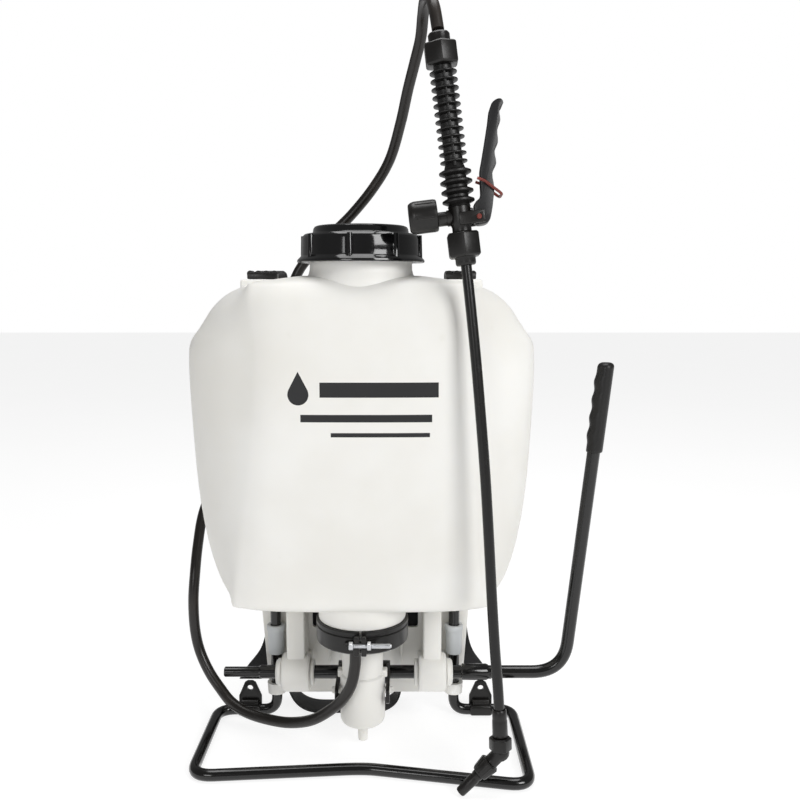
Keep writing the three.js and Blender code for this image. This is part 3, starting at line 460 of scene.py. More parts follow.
def blown_white(name, mark):
    finish = Finish(name, Subsurface_Weight=0.12, Subsurface_Radius=(0.012, 0.011, 0.009),
                    Subsurface_Scale=0.6, Specular_IOR_Level=0.42)
    cloud = finish.noise(7, 4)
    grain = finish.noise(420, 2)
    speck = finish.noise(60, 5)
    colour = finish.blend(finish.soften(cloud, 0.3, 0.72), TANK_WHITE, TANK_PALE)
    colour = finish.blend(finish.soften(speck, 0.68, 0.8) * 0.2, colour, (0.70, 0.68, 0.62))
    if mark:
        colour = finish.blend(printed_mark(finish), colour, INK)
    finish.feed("Base Color", colour)
    finish.feed("Roughness", 0.36 + cloud * 0.12 + grain * 0.06)
    finish.bump(cloud * 0.9 + grain * 0.1, 0.5, 0.35)
    return finish.material


for name, mark in (("tank_plastic", True), ("skirt_plastic", False)):
    FINISHES[name] = blown_white(name, mark)
print("white plastics:", *FINISHES)


# %% Moulded plastics
def moulded(name, colour, flow_tone_and_highlight, roughness, peel, coat=0.0):
    """Injection-moulded plastic: a faint flow pattern, orange peel and a painted highlight on sharp
    edges.
    """
    finish = Finish(name, Coat_Weight=coat, Coat_Roughness=0.05, Specular_IOR_Level=0.4)
    flow = finish.noise(26, 4, (1, 1, 0.35))
    skin = finish.noise(900, 2)
    dust = finish.noise(150, 4)
    tone = finish.blend(finish.soften(flow, 0.3, 0.7), colour, flow_tone_and_highlight)
    # Painted highlight: sharp convex edges are painted paler, as if they caught the light.
    tone = finish.blend(finish.edges() * 0.45, tone, tuple(min(1, c * 2.2 + 0.008) for c in flow_tone_and_highlight))
    finish.feed("Base Color", tone)
    finish.feed("Roughness", roughness + flow * 0.12 + finish.soften(dust, 0.6, 0.8) * 0.1)
    finish.bump(skin * 0.4 + flow * 0.6, peel)
    return finish.material


MOULDINGS = dict(
    gloss_black=((0.002, 0.002, 0.0022), (0.004, 0.004, 0.0042), 0.06, 0.03, 0.35),
    matt_black=((0.0045, 0.0040, 0.0036), (0.009, 0.008, 0.0072), 0.26, 0.08),
    soft_black=((0.0045, 0.0042, 0.0040), (0.009, 0.0085, 0.008), 0.34, 0.12),
    lance_black=((0.0035, 0.0033, 0.0030), (0.0075, 0.007, 0.0065), 0.2, 0.04),
    grey_plastic=((0.46, 0.48, 0.49), (0.54, 0.56, 0.57), 0.32, 0.05),
    trigger_grey=((0.010, 0.010, 0.011), (0.018, 0.018, 0.019), 0.3, 0.06),
    lock_red=((0.13, 0.022, 0.016), (0.19, 0.035, 0.025), 0.36, 0.05),
    rubber=((0.016, 0.015, 0.015), (0.026, 0.025, 0.024), 0.62, 0.1))
for name, look in MOULDINGS.items():
    FINISHES[name] = moulded(name, *look)
print(len(MOULDINGS), "moulded plastics")


# %% Enamel, steel and chrome
def enamelled(name):
    """Stove enamel on steel tube: deep black with a clear skin, orange peel and a few scuffs."""
    finish = Finish(name, Coat_Weight=0.35, Coat_Roughness=0.06, Specular_IOR_Level=0.4)
    peel = finish.noise(260, 3)
    scuff = finish.soften(finish.noise(34, 6), 0.66, 0.74)
    fine = finish.soften(finish.noise(500, 3, (0.15, 1, 1)), 0.58, 0.7)
    tone = finish.blend(scuff * fine * 0.6, (0.003, 0.0028, 0.0026), (0.03, 0.027, 0.024))
    finish.feed("Base Color", tone)
    finish.feed("Roughness", 0.12 + peel * 0.1 + scuff * 0.2)
    finish.bump(peel, 0.05)
    return finish.material


def metal(name, colour, roughness, brushed):
    finish = Finish(name, Metallic=1.0)
    lines = finish.noise(700, 2, (0.04, 1, 1) if brushed else (1, 1, 1))
    stain = finish.noise(90, 4)
    tone = finish.blend(finish.soften(stain, 0.45, 0.75), colour, tuple(c * 0.8 for c in colour))
    finish.feed("Base Color", tone)
    finish.feed("Roughness", roughness + lines * 0.14 + stain * 0.08)
    finish.bump(lines, 0.02)
    return finish.material


FINISHES["black_enamel"] = enamelled("black_enamel")
FINISHES["zinc_steel"] = metal("zinc_steel", (0.66, 0.67, 0.69), 0.2, True)
FINISHES["chrome"] = metal("chrome", (0.83, 0.83, 0.85), 0.06, False)


# %% Hose, fabric and webbing
def hose_skin(name):
    """Extruded hose: fine die lines, a slightly warm black and a soft streaky gloss."""
    finish = Finish(name, Specular_IOR_Level=0.5)
    streak = finish.noise(60, 5, (1, 1, 0.12))
    skin = finish.noise(1100, 2)
    dull = finish.soften(finish.noise(18, 5), 0.5, 0.7)
    finish.feed("Base Color", finish.blend(dull, (0.0075, 0.0055, 0.0042), (0.017, 0.0125, 0.0095)))
    finish.feed("Roughness", 0.24 + streak * 0.14 + dull * 0.08)
    finish.bump(skin * 0.5 + streak * 0.5, 0.07)
    return finish.material


def cloth(name, pitch, by_uv):
    """Woven nylon: two crossed sets of threads, with fuzz that pales the high threads."""
    finish = Finish(name, Sheen_Weight=0.25, Sheen_Roughness=0.5, Specular_IOR_Level=0.3)
    if by_uv:
        spot = finish.node("UVMap")
        cut = finish.node("SeparateXYZ", sockets={0: spot})
        across, along = cut, Wire(finish, cut.socket.node.outputs[1])
    else:
        across, _, along = finish.axes()
    turns = 2 * math.pi / (pitch * MM)
    warp = finish.sum("SINE", across * turns, 0)
    weft = finish.sum("SINE", along * turns, 0)
    weave = warp * weft * 0.5 + 0.5
    fuzz = finish.noise(240, 4)
    tone = finish.blend(weave * 0.6 + fuzz * 0.3, (0.004, 0.004, 0.0045), (0.018, 0.018, 0.020))
    finish.feed("Base Color", tone)
    finish.feed("Roughness", 0.72 + fuzz * 0.2)
    finish.bump(weave * 0.8 + fuzz * 0.2, 0.35)
    return finish.material


FINISHES["hose_rubber"] = hose_skin("hose_rubber")
FINISHES["padded_fabric"] = cloth("padded_fabric", 1.6, False)
FINISHES["webbing"] = cloth("webbing", 1.3, True)
print(len(FINISHES), "finishes")

# %% [markdown]
# ## Dressing and fitting
# Every node that stays visible takes the finish of its material slot. A new piece is smoothed by
# angle, gets its finish, rides on its body and says which nodes it stands for.

# %% Dress the frame and fit a piece
for row in frame["record"]["subparts"]:
    kept = nodes[row["node"]]
    kept.data.materials.clear()
    kept.data.materials.append(FINISHES[row["material_slot"]])


def fit(piece, slot, *stands_for, body="root", sharp=34):
    if piece.type == "MESH":
        pick(piece)
        bpy.ops.object.shade_smooth_by_angle(angle=math.radians(sharp))
    piece.data.materials.clear()
    piece.data.materials.append(FINISHES[slot])
    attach(piece, body)
    if stands_for:
        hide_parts(*stands_for)
    count = len(piece.data.polygons) if piece.type == "MESH" else 0
    print(f"{piece.name}: {count} faces on {body}")
    return piece

# %% [markdown]
# ## The hose
# One length of hose leaves the pump's outlet, hangs in a loop just off the floor, climbs behind
# the tank and arches over to the wand. It is the only free cord, and it comes before the other
# pieces because its route is fixed by the frame. A curve with a round section is all it needs.

# %% Hose
HOSE_RADIUS = 5.6
HOSE_END = (72, 15, 694)
HOSE_ROUTE = [
    (-5.5, 27, 111.6), (-6, 26.6, 98), (-10, 27, 78), (-19, 31.5, 61), (-32.5, 38.5, 46),
    (-51, 47, 32), (-75, 60, 22.5), (-97, 71, 20), (-119, 80, 22), (-131, 86, 25), (-143, 94, 30),
    (-155, 103, 40), (-168, 111, 55), (-179, 117.5, 76), (-184, 120, 98), (-185.5, 122, 131),
    (-184.5, 128, 158), (-184, 144, 187), (-181, 164, 219), (-167, 180.5, 255),
    (-143, 186.5, 298), (-121, 186.8, 345), (-104, 186.8, 395), (-89, 187.5, 445),
    (-73, 189, 487), (-45, 188.5, 518), (-16, 184, 545), (10, 175, 575), (27, 166, 602),
    (39, 148, 638), (46.5, 130, 668), (53.5, 114, 692), (58.5, 101, 710), (60.3, 84.7, 726.7),
    (61.8, 63, 734.6), (64.9, 40.2, 730.6), (68.6, 22.7, 715.8), HOSE_END,
]
hose_line = smooth_line(HOSE_ROUTE, 12)
hose_length = sum((b - a).length for a, b in zip(hose_line, hose_line[1:])) * MM
hose = fit(curve_piece("hose_skin", hose_line, HOSE_RADIUS), "hose_rubber", "hose")
print(f"hose length {hose_length:.3f} m")

# %% [markdown]
# ## The tank
# The tank is blow-moulded: one thin skin with soft shoulders, a raised panel at the front and
# wings that flare back from it. It is lofted from rings whose outline changes with height, then
# the boss, the neck and the strap lugs are united with it and the inside is carved out.

# %% Tank rings
TANK_BOTTOM, TANK_TOP = 154, 478
TANK_FRONT, TANK_MIDDLE, TANK_BACK = 4, 91, 178
WALL = 3
NECK_Y, PUMP_Y = 73, 60
NECK_TOP = TANK_TOP + 30
# rise, half width, and how far the front and back are drawn in
TANK_LEVELS = [
    (0, 108, 22), (2, 121, 13), (7, 135, 5.5), (16, 145, 1.5), (34, 152.5, 0), (60, 159, 0),
    (102, 165.5, 0), (170, 170.5, 0), (250, 172.5, 0), (261, 170, 0), (272, 162.5, 0.5),
    (282, 156, 1.5), (292, 149.5, 3.5), (302, 140, 7), (310, 128, 12), (317, 108, 18.5),
    (321, 86, 26), (324, 64, 36)]


def tank_ring(rise, half_width, drawn, inset, per):
    front = TANK_FRONT + drawn + inset
    back = TANK_BACK - drawn * 0.8 - inset
    half_width -= inset
    panel = 95 + 20 * max(0.0, 1 - rise / 230) ** 1.2 - inset * 0.6
    panel = min(panel, half_width - 17)
    height = TANK_TOP - TANK_BOTTOM
    z = TANK_BOTTOM + inset + rise / height * (height - 2 * inset)
    half = [
        (panel * 0.5, front + 0.8), (panel - 17, front + 3.4), (panel - 1, front + 8),
        (panel + 10, front + 13.5), (half_width - (half_width - panel) * 0.45, front + 31.5),
        (half_width - 5, front + (TANK_MIDDLE - front) * 0.68), (half_width, TANK_MIDDLE),
        (half_width - 6, back - (back - TANK_MIDDLE) * 0.5),
        (half_width - 22, back - (back - TANK_MIDDLE) * 0.2), (half_width - 52, back - 2.5),
        (half_width * 0.3, back), (half_width * 0.15, back)]
    outline = [(0, front), *half, (0, back), *[(-x, y) for x, y in reversed(half)]]
    return smooth_line([(x, y, z) for x, y in outline], per, closed=True)


def tank_skin(name, inset, between, per):
    levels = smooth_line(TANK_LEVELS, between)
    return lofted(name, [tank_ring(*level, inset, per) for level in levels])


# %% Neck, boss and lugs
def strap_lug(side):
    low, high = mirrored(side, 75, 120)
    return block("lug", (low, 78, TANK_TOP - 20), (high, 104, TANK_TOP - 3), 2.5, 3)


neck = turned("neck", [
    (0, 458), (54, 458), (54, 470), (53, 476), (51.2, 480), (50.2, 484), (50, 489), (50, 497),
    (50.8, 498), (50.8, 500), (50, 501), (50, 505), (49, NECK_TOP), (0, NECK_TOP)],
    (0, NECK_Y), 72)
boss = turned("boss", [
    (0, 126), (41, 126), (41.4, 127), (41.4, 136), (43.6, 137.6), (44, 139), (44, 151),
    (45.5, 156), (48, 160), (0, 160)], (0, PUMP_Y), 72)
tank = tank_skin("tank_skin", 0, 4, 4)
unite(tank, boss, strap_lug(-1), strap_lug(1), neck)
mouth = rod("mouth", (0, NECK_Y, 430), (0, NECK_Y, NECK_TOP + 5), 45, sides=64)
pump_bore = rod("pump_bore", (0, PUMP_Y, 120), (0, PUMP_Y, 200), 37, sides=64)
carve(tank, tank_skin("inside", WALL, 1, 2), mouth, pump_bore)
fit(tank, "tank_plastic", "tank_shell", "tank_neck", sharp=28)

# %% [markdown]
# ## The cap
# A cap as wide as a hand: a skirt with eight upright ribs, a flared rim that hangs over the
# neck, and a raised disc on top. The body is turned; one rib is made and copied round.

# %% Cap
CAP_BOTTOM, CAP_TOP = 491, 526
cap = turned("cap_moulding", [
    (53.5, CAP_BOTTOM), (61.8, CAP_BOTTOM), (62.3, CAP_BOTTOM + 0.8), (62, CAP_BOTTOM + 2.6),
    (59.6, CAP_BOTTOM + 5), (58.2, CAP_BOTTOM + 6.4), (57.8, CAP_BOTTOM + 12),
    (57.6, CAP_TOP - 13), (56.8, CAP_TOP - 10), (54.6, CAP_TOP - 8), (50, CAP_TOP - 7.2),
    (47.6, CAP_TOP - 7), (46.8, CAP_TOP - 6), (46.2, CAP_TOP - 2.6), (45, CAP_TOP - 0.8),
    (43, CAP_TOP), (40.5, CAP_TOP - 0.3), (39.6, CAP_TOP - 1.6), (38, CAP_TOP - 2.2),
    (0, CAP_TOP - 2.6), (0, 514.2), (53.5, 514.2)], (0, NECK_Y), 112)


def cap_rib(degrees):
    turn = math.radians(degrees)
    x, y = 57.4 * math.cos(turn), NECK_Y + 57.4 * math.sin(turn)
    return rod("rib", (x, y, CAP_BOTTOM + 3), (x, y, CAP_TOP - 9), 3.1, 2.5, sides=16)


unite(cap, *[cap_rib(-98 + 45 * i) for i in range(8)])
fit(round_edges(cap, 0.35), "gloss_black", "tank_cap", body="cap_body", sharp=40)

# %% [markdown]
# ## The stand
# One steel tube is bent into two legs and a loop on the floor, and its front run is a shallow V.
# The path has square corners, and each corner is rounded by the radius of the bending tool.

# %% Stand tube
TUBE_RADIUS = 5.8
TUBE_Z = 5.6
LEG_X, LEG_TOP = 97, 140
STAND_BACK = 125


def stand_side(s):
    front = -30 if s > 0 else -13
    return [((s * LEG_X, STAND_BACK, LEG_TOP), 0), ((s * LEG_X, STAND_BACK, TUBE_Z), 15),
            ((s * 161, STAND_BACK, TUBE_Z), 20), ((s * 161, front, TUBE_Z), 22),
            ((s * 9, 0, TUBE_Z), 8)]


stand = swept("stand_bent_tube", bent_line(stand_side(-1) + stand_side(1)[::-1]), TUBE_RADIUS, 7)
fit(stand, "black_enamel", "stand_tube")


# %% [markdown]
# ## The base moulding
# A white moulding hangs under the tank: a panel with windows, a ledge that the tank sits on, two
# round bosses that carry the pump shaft and two sockets for the legs. Each solid is made with
# rounded edges, they are united, and the holes are carved last so that they stay sharp.

# %% Base moulding
SHAFT_Y, SHAFT_Z = 104, 58
PANEL_FRONT, PANEL_BACK = 134, 138
PANEL_TOP = TANK_BOTTOM - 0.3
BOSS_IN, BOSS_OUT = 57.5, 87.6


def on_shaft(x, z=SHAFT_Z):
    return x, SHAFT_Y, z


def bearing_boss(side):
    low, high = mirrored(side, BOSS_IN, BOSS_OUT)
    return lathe_between("bearing", on_shaft(low), on_shaft(high), [
        (0, 0), (17, 0), (19.4, 1), (20.4, 3), (20.6, 6), (20.6, 24), (20.4, 27), (19.4, 29.1),
        (17, 30.1), (0, 30.1)])


def base_side(side):
    low, high = mirrored(side, BOSS_IN, BOSS_OUT)
    web_low, web_high = mirrored(side, 62.5, 82)
    rib_low, rib_high = mirrored(side, 38, 41)
    x, joint, top = side * LEG_X, PANEL_FRONT + 1, PANEL_TOP - 1
    return [
        bearing_boss(side),
        block("arm", on_shaft(low, SHAFT_Z - 12), (high, joint, SHAFT_Z + 12), 2),
        block("web", (web_low, 94, SHAFT_Z + 10), (web_high, joint, top), 2.5, 3),
        block("rib", (rib_low, 122, 60), (rib_high, joint, top), 1.2),
        rod("socket", (x, STAND_BACK, 26), (x, STAND_BACK, 38), 9.4, 10.2),
        rod("upper_socket", (x, STAND_BACK, 136), (x, STAND_BACK, PANEL_TOP - 0.4), 9.6, 11)]


def base_holes(side):
    low, high = mirrored(side, 50, 95)
    window_low, window_high = mirrored(side, 42, 58)
    x = side * LEG_X
    return [
        rod("shaft_hole", on_shaft(low), on_shaft(high), 10.7, sides=48),
        block("window", (window_low, 120, 96), (window_high, 145, 140), 3, 3),
        rod("leg_hole", (x, STAND_BACK, 18), (x, STAND_BACK, LEG_TOP + 1), TUBE_RADIUS + 0.5)]


base = plate("base_moulding", [
    (-107, 30), (-105.6, 24.6), (-98, 21), (98, 21), (105.6, 24.6), (107, 30), (110.5, 78),
    (116, PANEL_TOP), (-116, PANEL_TOP), (-110.5, 78)], PANEL_FRONT, PANEL_BACK, "Y")
round_edges(base, 1.2)
unite(base, block("ledge", (-116, 118, PANEL_TOP - 4), (116, 165, PANEL_TOP), 1.2),
      *base_side(-1), *base_side(1))
carve(base, *base_holes(-1), *base_holes(1))
fit(base, "skirt_plastic", "base_skirt", sharp=30)

# %% [markdown]
# ## Bearings, sleeves and saddles
# Small turned and moulded parts come in pairs, left and right. One function makes a side, so the
# pair can't differ.

# %% Bearings and sleeves
def shaft_ring(side, title, node, near, far, profile):
    ring = lathe_between(title, on_shaft(side * near), on_shaft(side * far), profile)
    fit(ring, "skirt_plastic", node)


def bushing(side, name):
    shaft_ring(side, "bearing_bush_" + name, "bushing_" + name, 58.5, 94.6, [
        (7.6, 0), (10.1, 0), (10.2, 29.4), (14, 29.6), (14.5, 30.4), (14.2, 33.4), (12, 35.6),
        (9.5, 36), (7.6, 36)])
    shaft_ring(side, "bearing_ring_" + name, "washer_" + name, 53.3, 57.2, [
        (7.6, 0), (12.6, 0), (14, 1), (14, 3), (13.4, 3.9), (7.6, 3.9)])


def leg_sleeve(side, name):
    x = side * LEG_X
    clip = lathe_between("leg_sleeve_" + name, (x, STAND_BACK, 71), (x, STAND_BACK, 103), [
        (6.3, 0), (8, 0), (8.6, 1), (8.8, 24), (9.6, 26), (10, 27), (10, 31), (9.4, 32),
        (6.3, 32)])
    carve(clip, block("behind", (x - 20, 133.6, 60), (x + 20, 150, 110)))
    fit(clip, "grey_plastic", "tube_clip_" + name)


for side, name in SIDES:
    bushing(side, name)
    leg_sleeve(side, name)


# %% Saddles and anchors for the straps
SADDLE_X, STRAP_TOP_X = 127, 99


def strap_saddle(side, name):
    x, y = side * SADDLE_X, STAND_BACK
    saddle = block("saddle_" + name, (x - 12, 116.5, 1.2), (x + 12, 133.5, 12.4), 2.4, 3)
    dome = rod("dome", (x - 9, y, 12), (x + 9, y, 12), 5, sides=24)
    tongue = plate("tongue", [
        (x - 12.5, 9), (x + 12.5, 9), (x + 12.5, 20), (x + 6, 35), (x + 2.6, 37), (x - 2.6, 37),
        (x - 6, 35), (x - 12.5, 20)], 127.2, 131, "Y")
    unite(saddle, dome, round_edges(tongue, 0.9))
    groove = rod("groove", (x - 20, y, TUBE_Z), (x + 20, y, TUBE_Z), TUBE_RADIUS + 0.3, sides=40)
    foot = block("foot", (x - 20, 119, -5), (x + 20, 131, TUBE_Z))
    hole = rod("hole", (x, 120, 29), (x, 140, 29), 3.2, sides=24)
    carve(saddle, groove, foot, hole)
    fit(saddle, "matt_black", "strap_bracket_" + name)


def strap_anchor(side, name):
    x = side * STRAP_TOP_X
    anchor = block("strap_grip_" + name, (x - 15, 84.5, 475.3), (x + 15, 99.5, 481), 1)
    unite(anchor, *[rod("ridge", (x + step, 85.2, 480.6), (x + step, 98.8, 480.6), 3.2, sides=20)
                    for step in (-12, -4, 4, 12)])
    fit(anchor, "matt_black", "strap_anchor_" + name)


for side, name in SIDES:
    strap_saddle(side, name)
    strap_anchor(side, name)

# %% [markdown]
# ## The pump
# The pump hangs from the tank's boss. A clamp ring in two halves grips both flanges, drawn
# together by a plated bolt at the front and one at the back. The white cylinder below slides up
# and down on the crank's arms.

# %% Clamp ring
CLAMP_TOP, CLAMP_LOW = 137, 114
BOLT_Z, BOLT_OUT = 126, 52.1
THREAD = 1.25


def bolt_spot(end, x):
    return x, PUMP_Y + end * BOLT_OUT, BOLT_Z


def clamp_half(side, name):
    ring = turned("clamp_" + name, [
        (41.8, CLAMP_LOW + 1), (41, CLAMP_LOW), (44.2, CLAMP_LOW), (46, CLAMP_LOW + 1.6),
        (46.4, CLAMP_LOW + 4), (46.4, CLAMP_TOP - 6.6), (45.2, CLAMP_TOP - 5.6),
        (45.2, CLAMP_TOP - 4.6), (46.5, CLAMP_TOP - 3.8), (46.5, CLAMP_TOP - 0.8),
        (45.8, CLAMP_TOP), (41.8, CLAMP_TOP)], (0, PUMP_Y), 96)

    def lug(end, x_range, y_range, low, high, *rounding):
        x_low, x_high = mirrored(side, *x_range)
        y_low, y_high = sorted(PUMP_Y + end * y for y in y_range)
        return block("lug", (x_low, y_low, low), (x_high, y_high, high), *rounding)

    for end in (-1, 1):
        unite(ring, lug(end, (0.8, 6.2), (44.5, 53.4), BOLT_Z - 10.5, BOLT_Z + 8.5, 1.2, 3),
              lug(end, (5, 15), (42.6, 49.5), BOLT_Z - 3, BOLT_Z + 2, 1.4))
    left, right = mirrored(-side, -1.1, 60)
    carve(ring, block("away", (left, -10, 90), (right, 150, 150)),
          *[rod("bolt_hole", bolt_spot(end, -30), bolt_spot(end, 30), 3) for end in (-1, 1)])
    fit(ring, "matt_black", "clamp_half_" + name)


def clamp_bolt(end, name):
    tail = 30 if end < 0 else 14
    shank = [(0, 0), (2.2, 0)]
    for i in range(int((tail + 6) / THREAD)):
        shank += [(2.5, 0.3 + i * THREAD), (2.5, 0.65 + i * THREAD), (2.15, 1.0 + i * THREAD)]
    shank += [(1.6, tail + 6.4), (0, tail + 6.4)]
    bolt = lathe_between("bolt_" + name, bolt_spot(end, -6.4), bolt_spot(end, tail), shank, 20)
    head = laid(hexagon("head", 4.4, -4.4, 0, 0.5), bolt_spot(end, -6.5), bolt_spot(end, 0))
    fit(unite(bolt, head), "zinc_steel", "clamp_bolt_" + name)
    nut = laid(hexagon("nut_" + name, 4.6, 0, 4.0, 0.5), bolt_spot(end, 6.5), bolt_spot(end, tail))
    carve(nut, rod("nut_bore", bolt_spot(end, 0), bolt_spot(end, 20), 2.75))
    fit(nut, "zinc_steel", "clamp_nut_" + name)


for side, name in SIDES:
    clamp_half(side, name)
for end, name in ((-1, "front"), (1, "back")):
    clamp_bolt(end, name)


# %% Pump head and its outlet
pump_head = turned("pump_head_casting", [
    (21.3, 118), (37, 118), (39.5, 118.8), (41.2, 121), (41.4, 124.9), (41.2, 125.7),
    (21.3, 125.7)], (0, PUMP_Y), 72)
outlet = turned("outlet", [
    (0, 112), (6.2, 112), (6.9, 112.8), (6.9, 115), (6.4, 116), (7.4, 117.6), (7.6, 123.5),
    (0, 123.5)], (-5.5, 27), 40)
unite(pump_head, outlet)
carve(pump_head, block("inner", (-20, PUMP_Y - 21, 100), (20, PUMP_Y + 21, 124)))
fit(pump_head, "matt_black", "pump_head")

# %% Pump cylinder
cylinder = turned("pump_cylinder_moulding", [
    (0, 4), (3.4, 4.2), (4.6, 5.2), (5, 7), (5.2, 15), (5.8, 18), (8, 20.4), (14, 22.8),
    (19.4, 25.2), (21.6, 27.2), (22.6, 30), (22.8, 33), (22.8, 74), (22.4, 76), (21.4, 77),
    (20.8, 77.6), (20.8, 151.2), (20.3, 151.7), (17.6, 151.7), (17.6, 30), (0, 30)], (0, PUMP_Y), 80)
side_pad = block("side_pad", (-25.2, PUMP_Y - 5, 73.5), (25.2, PUMP_Y + 5, 81), 1.2)
pins = [round_edges(rod("pin", (x, PUMP_Y, SHAFT_Z), (x + 11, PUMP_Y, SHAFT_Z), 3.5), 0.5)
        for x in (-31, 20)]
unite(cylinder, side_pad, *pins)
carve(cylinder, rod("cylinder_bore", (0, PUMP_Y, 30.1), (0, PUMP_Y, 160), 17.6, sides=64))
fit(cylinder, "skirt_plastic", "pump_cylinder", body="pump_piston", sharp=30)


# %% Shaft, crank and handle
shaft = lathe_between("pump_shaft_bar", on_shaft(-150), on_shaft(104), [
    (0, 0), (4.6, 0), (5.4, 0.8), (5.4, 37), (6.2, 38), (7.1, 39), (7.1, 253.4), (6.6, 254),
    (0, 254)])
fit(shaft, "black_enamel", "pump_shaft", body="pump_lever")


def crank_arm(side):
    low, high = mirrored(side, 23.9, 27.5)
    outline = [(108, 47), (108, 69), (100, 69.4), (54, 67.6), (47, 66.8), (43.4, 64.6), (42, 61.4),
               (42, 54.6), (43.4, 51.4), (47, 49.2), (54, 48.4), (100, 46.6)]
    return round_edges(plate("arm", outline, low, high), 0.7)


crank = rod("crank_moulding", on_shaft(-27.5), on_shaft(27.5), 12, sides=48)
unite(crank, crank_arm(-1), crank_arm(1))
carve(crank, block("slot", (-30, 45.2, SHAFT_Z - 4.9), (30, 64.9, SHAFT_Z + 4.9)),
      rod("shaft_hole", on_shaft(-30), on_shaft(30), 7.4, sides=40))
fit(crank, "matt_black", "crank_yoke", body="pump_lever")

HANDLE_X, HANDLE_LEAN = 213.5, 0.1095
GRIP_TOP, GRIP_LENGTH = 391, 94


def handle_x(z):
    return HANDLE_X + (z - SHAFT_Z) * HANDLE_LEAN


handle = swept("handle_bent_tube", bent_line([
    (on_shaft(104.3), 0), (on_shaft(HANDLE_X), 34),
    (on_shaft(handle_x(GRIP_TOP - 6), GRIP_TOP - 6), 0)], 14), 6.8, 7)
sleeve = lathe_between("sleeve", on_shaft(104.4), on_shaft(134), [
    (0, 0), (8, 0), (8.6, 0.8), (8.6, 26), (7.4, 28.4), (0, 28.4)])
fit(unite(handle, sleeve), "black_enamel", "handle_tube", body="pump_lever")


def grip_ring(rise, shrink=0.0):
    """The grip swells between the fingers on the side that faces the tank."""
    z = GRIP_TOP - GRIP_LENGTH + rise
    ring = []
    for k in range(32):
        turn = 2 * math.pi * k / 32
        inward = max(0.0, -math.cos(turn)) ** 1.5
        wave = 0.5 - 0.5 * math.cos(2 * math.pi * max(0.0, min(1.0, (rise - 9) / 74)) * 4)
        radius = 8.9 - shrink + inward * (1.5 * wave - 0.9)
        ring.append((handle_x(z) + radius * math.cos(turn),
                     SHAFT_Y + radius * 1.15 * math.sin(turn), z))
    return ring


grip_rings = [grip_ring(0, 1.4), grip_ring(0.5, 0.4), grip_ring(1.5)]
grip_rings += [grip_ring(4 + i * 1.7) for i in range(51)]
grip_rings += [grip_ring(91, 0.5), grip_ring(92.6, 1.8), grip_ring(93.4, 3.6)]
grip = lofted("handle_grip_moulding", grip_rings)
carve(grip, rod("grip_bore", on_shaft(handle_x(290), 290), on_shaft(handle_x(386), 386), 7.2))
fit(grip, "soft_black", "handle_grip", body="pump_lever", sharp=30)

# %% [markdown]
# ## The wand's valve
# The valve is drawn upright on its own axis, where every height is easy to read, and then leaned
# into place by one matrix. The grip is a bellows of thin discs on a stem, with a seam rib down
# its front; the trigger is a channel that swings on a red pin.

# %% The wand's own axes
WAND_FOOT = Vector((97.6, -0.4, 488))
wand_axis = Vector(HOSE_END) - WAND_FOOT
wand_up = wand_axis.normalized()
wand_face = Vector((0, wand_up.z, -wand_up.y)).normalized()
wand_side = wand_face.cross(wand_up).normalized()
wand_frame = (Matrix.Translation(WAND_FOOT * MM)
              @ Matrix((wand_side, wand_face, wand_up)).transposed().to_4x4())
NUT_TOP = wand_axis.length - 3
print("wand axis", [round(v, 3) for v in wand_up], "nut top", round(NUT_TOP, 1))


def fit_wand(piece, slot, node, **settings):
    piece.data.transform(wand_frame)
    fit(piece, slot, node, **settings)


# %% Hose nut and grip
hose_nut = hexagon("hose_coupling", 16.2, NUT_TOP - 29, NUT_TOP - 9, 1.6)
collar = turned("collar", [
    (0, NUT_TOP - 12), (9.8, NUT_TOP - 12), (10.2, NUT_TOP - 8), (9.8, NUT_TOP - 6.5),
    (9.8, NUT_TOP - 1.4), (8.8, NUT_TOP), (0, NUT_TOP)])
unite(hose_nut, collar)
carve(hose_nut, rod("nut_bore", (0, 0, NUT_TOP - 34), (0, 0, NUT_TOP - 20), 7.2))
fit_wand(hose_nut, "matt_black", "hose_nut")

RIB_PITCH, RIB_COUNT, FIRST_RIB = 7.2, 12, 91


def disc(z, radius, half, stem):
    """The profile of one thin disc, from its lower root to its upper one."""
    return [(stem, z - half * 1.9), (radius - 1.6, z - half), (radius - 0.2, z - half * 0.55),
            (radius, z), (radius - 0.2, z + half * 0.55), (radius - 1.6, z + half),
            (stem, z + half * 1.9)]


grip_profile = [(0, 51), (10.4, 51)]
for height in (56, 64.5, 73, 81.5):
    grip_profile += disc(height, 14.6, 1.7, 9.6)
for index in range(RIB_COUNT):
    grip_profile += disc(FIRST_RIB + index * RIB_PITCH, 12.4, 1.05, 8.2)
grip_top = NUT_TOP - 29.3
grip_profile += [(8.2, grip_top), (6.6, grip_top), (6.6, grip_top + 7), (0, grip_top + 7)]
wand_grip = turned("wand_grip_bellows", grip_profile, steps=72)
unite(wand_grip, *[block("seam", (-1.1, y, 86), (1.1, y + 4.6, grip_top - 1), 0.5)
                   for y in (-10.6, 6)])
carve(wand_grip, rod("grip_bore", (0, 0, 40), (0, 0, 68), 7.2))
fit_wand(wand_grip, "soft_black", "valve_grip", sharp=40)

# %% Valve body, cap and pin
PIVOT_X, PIVOT_Z = 15.7, 39.1


def pivot_rod(name, y, radius):
    """A rod through the trigger's pivot, as far to the left as to the right."""
    return rod(name, (PIVOT_X, -y, PIVOT_Z), (PIVOT_X, y, PIVOT_Z), radius)


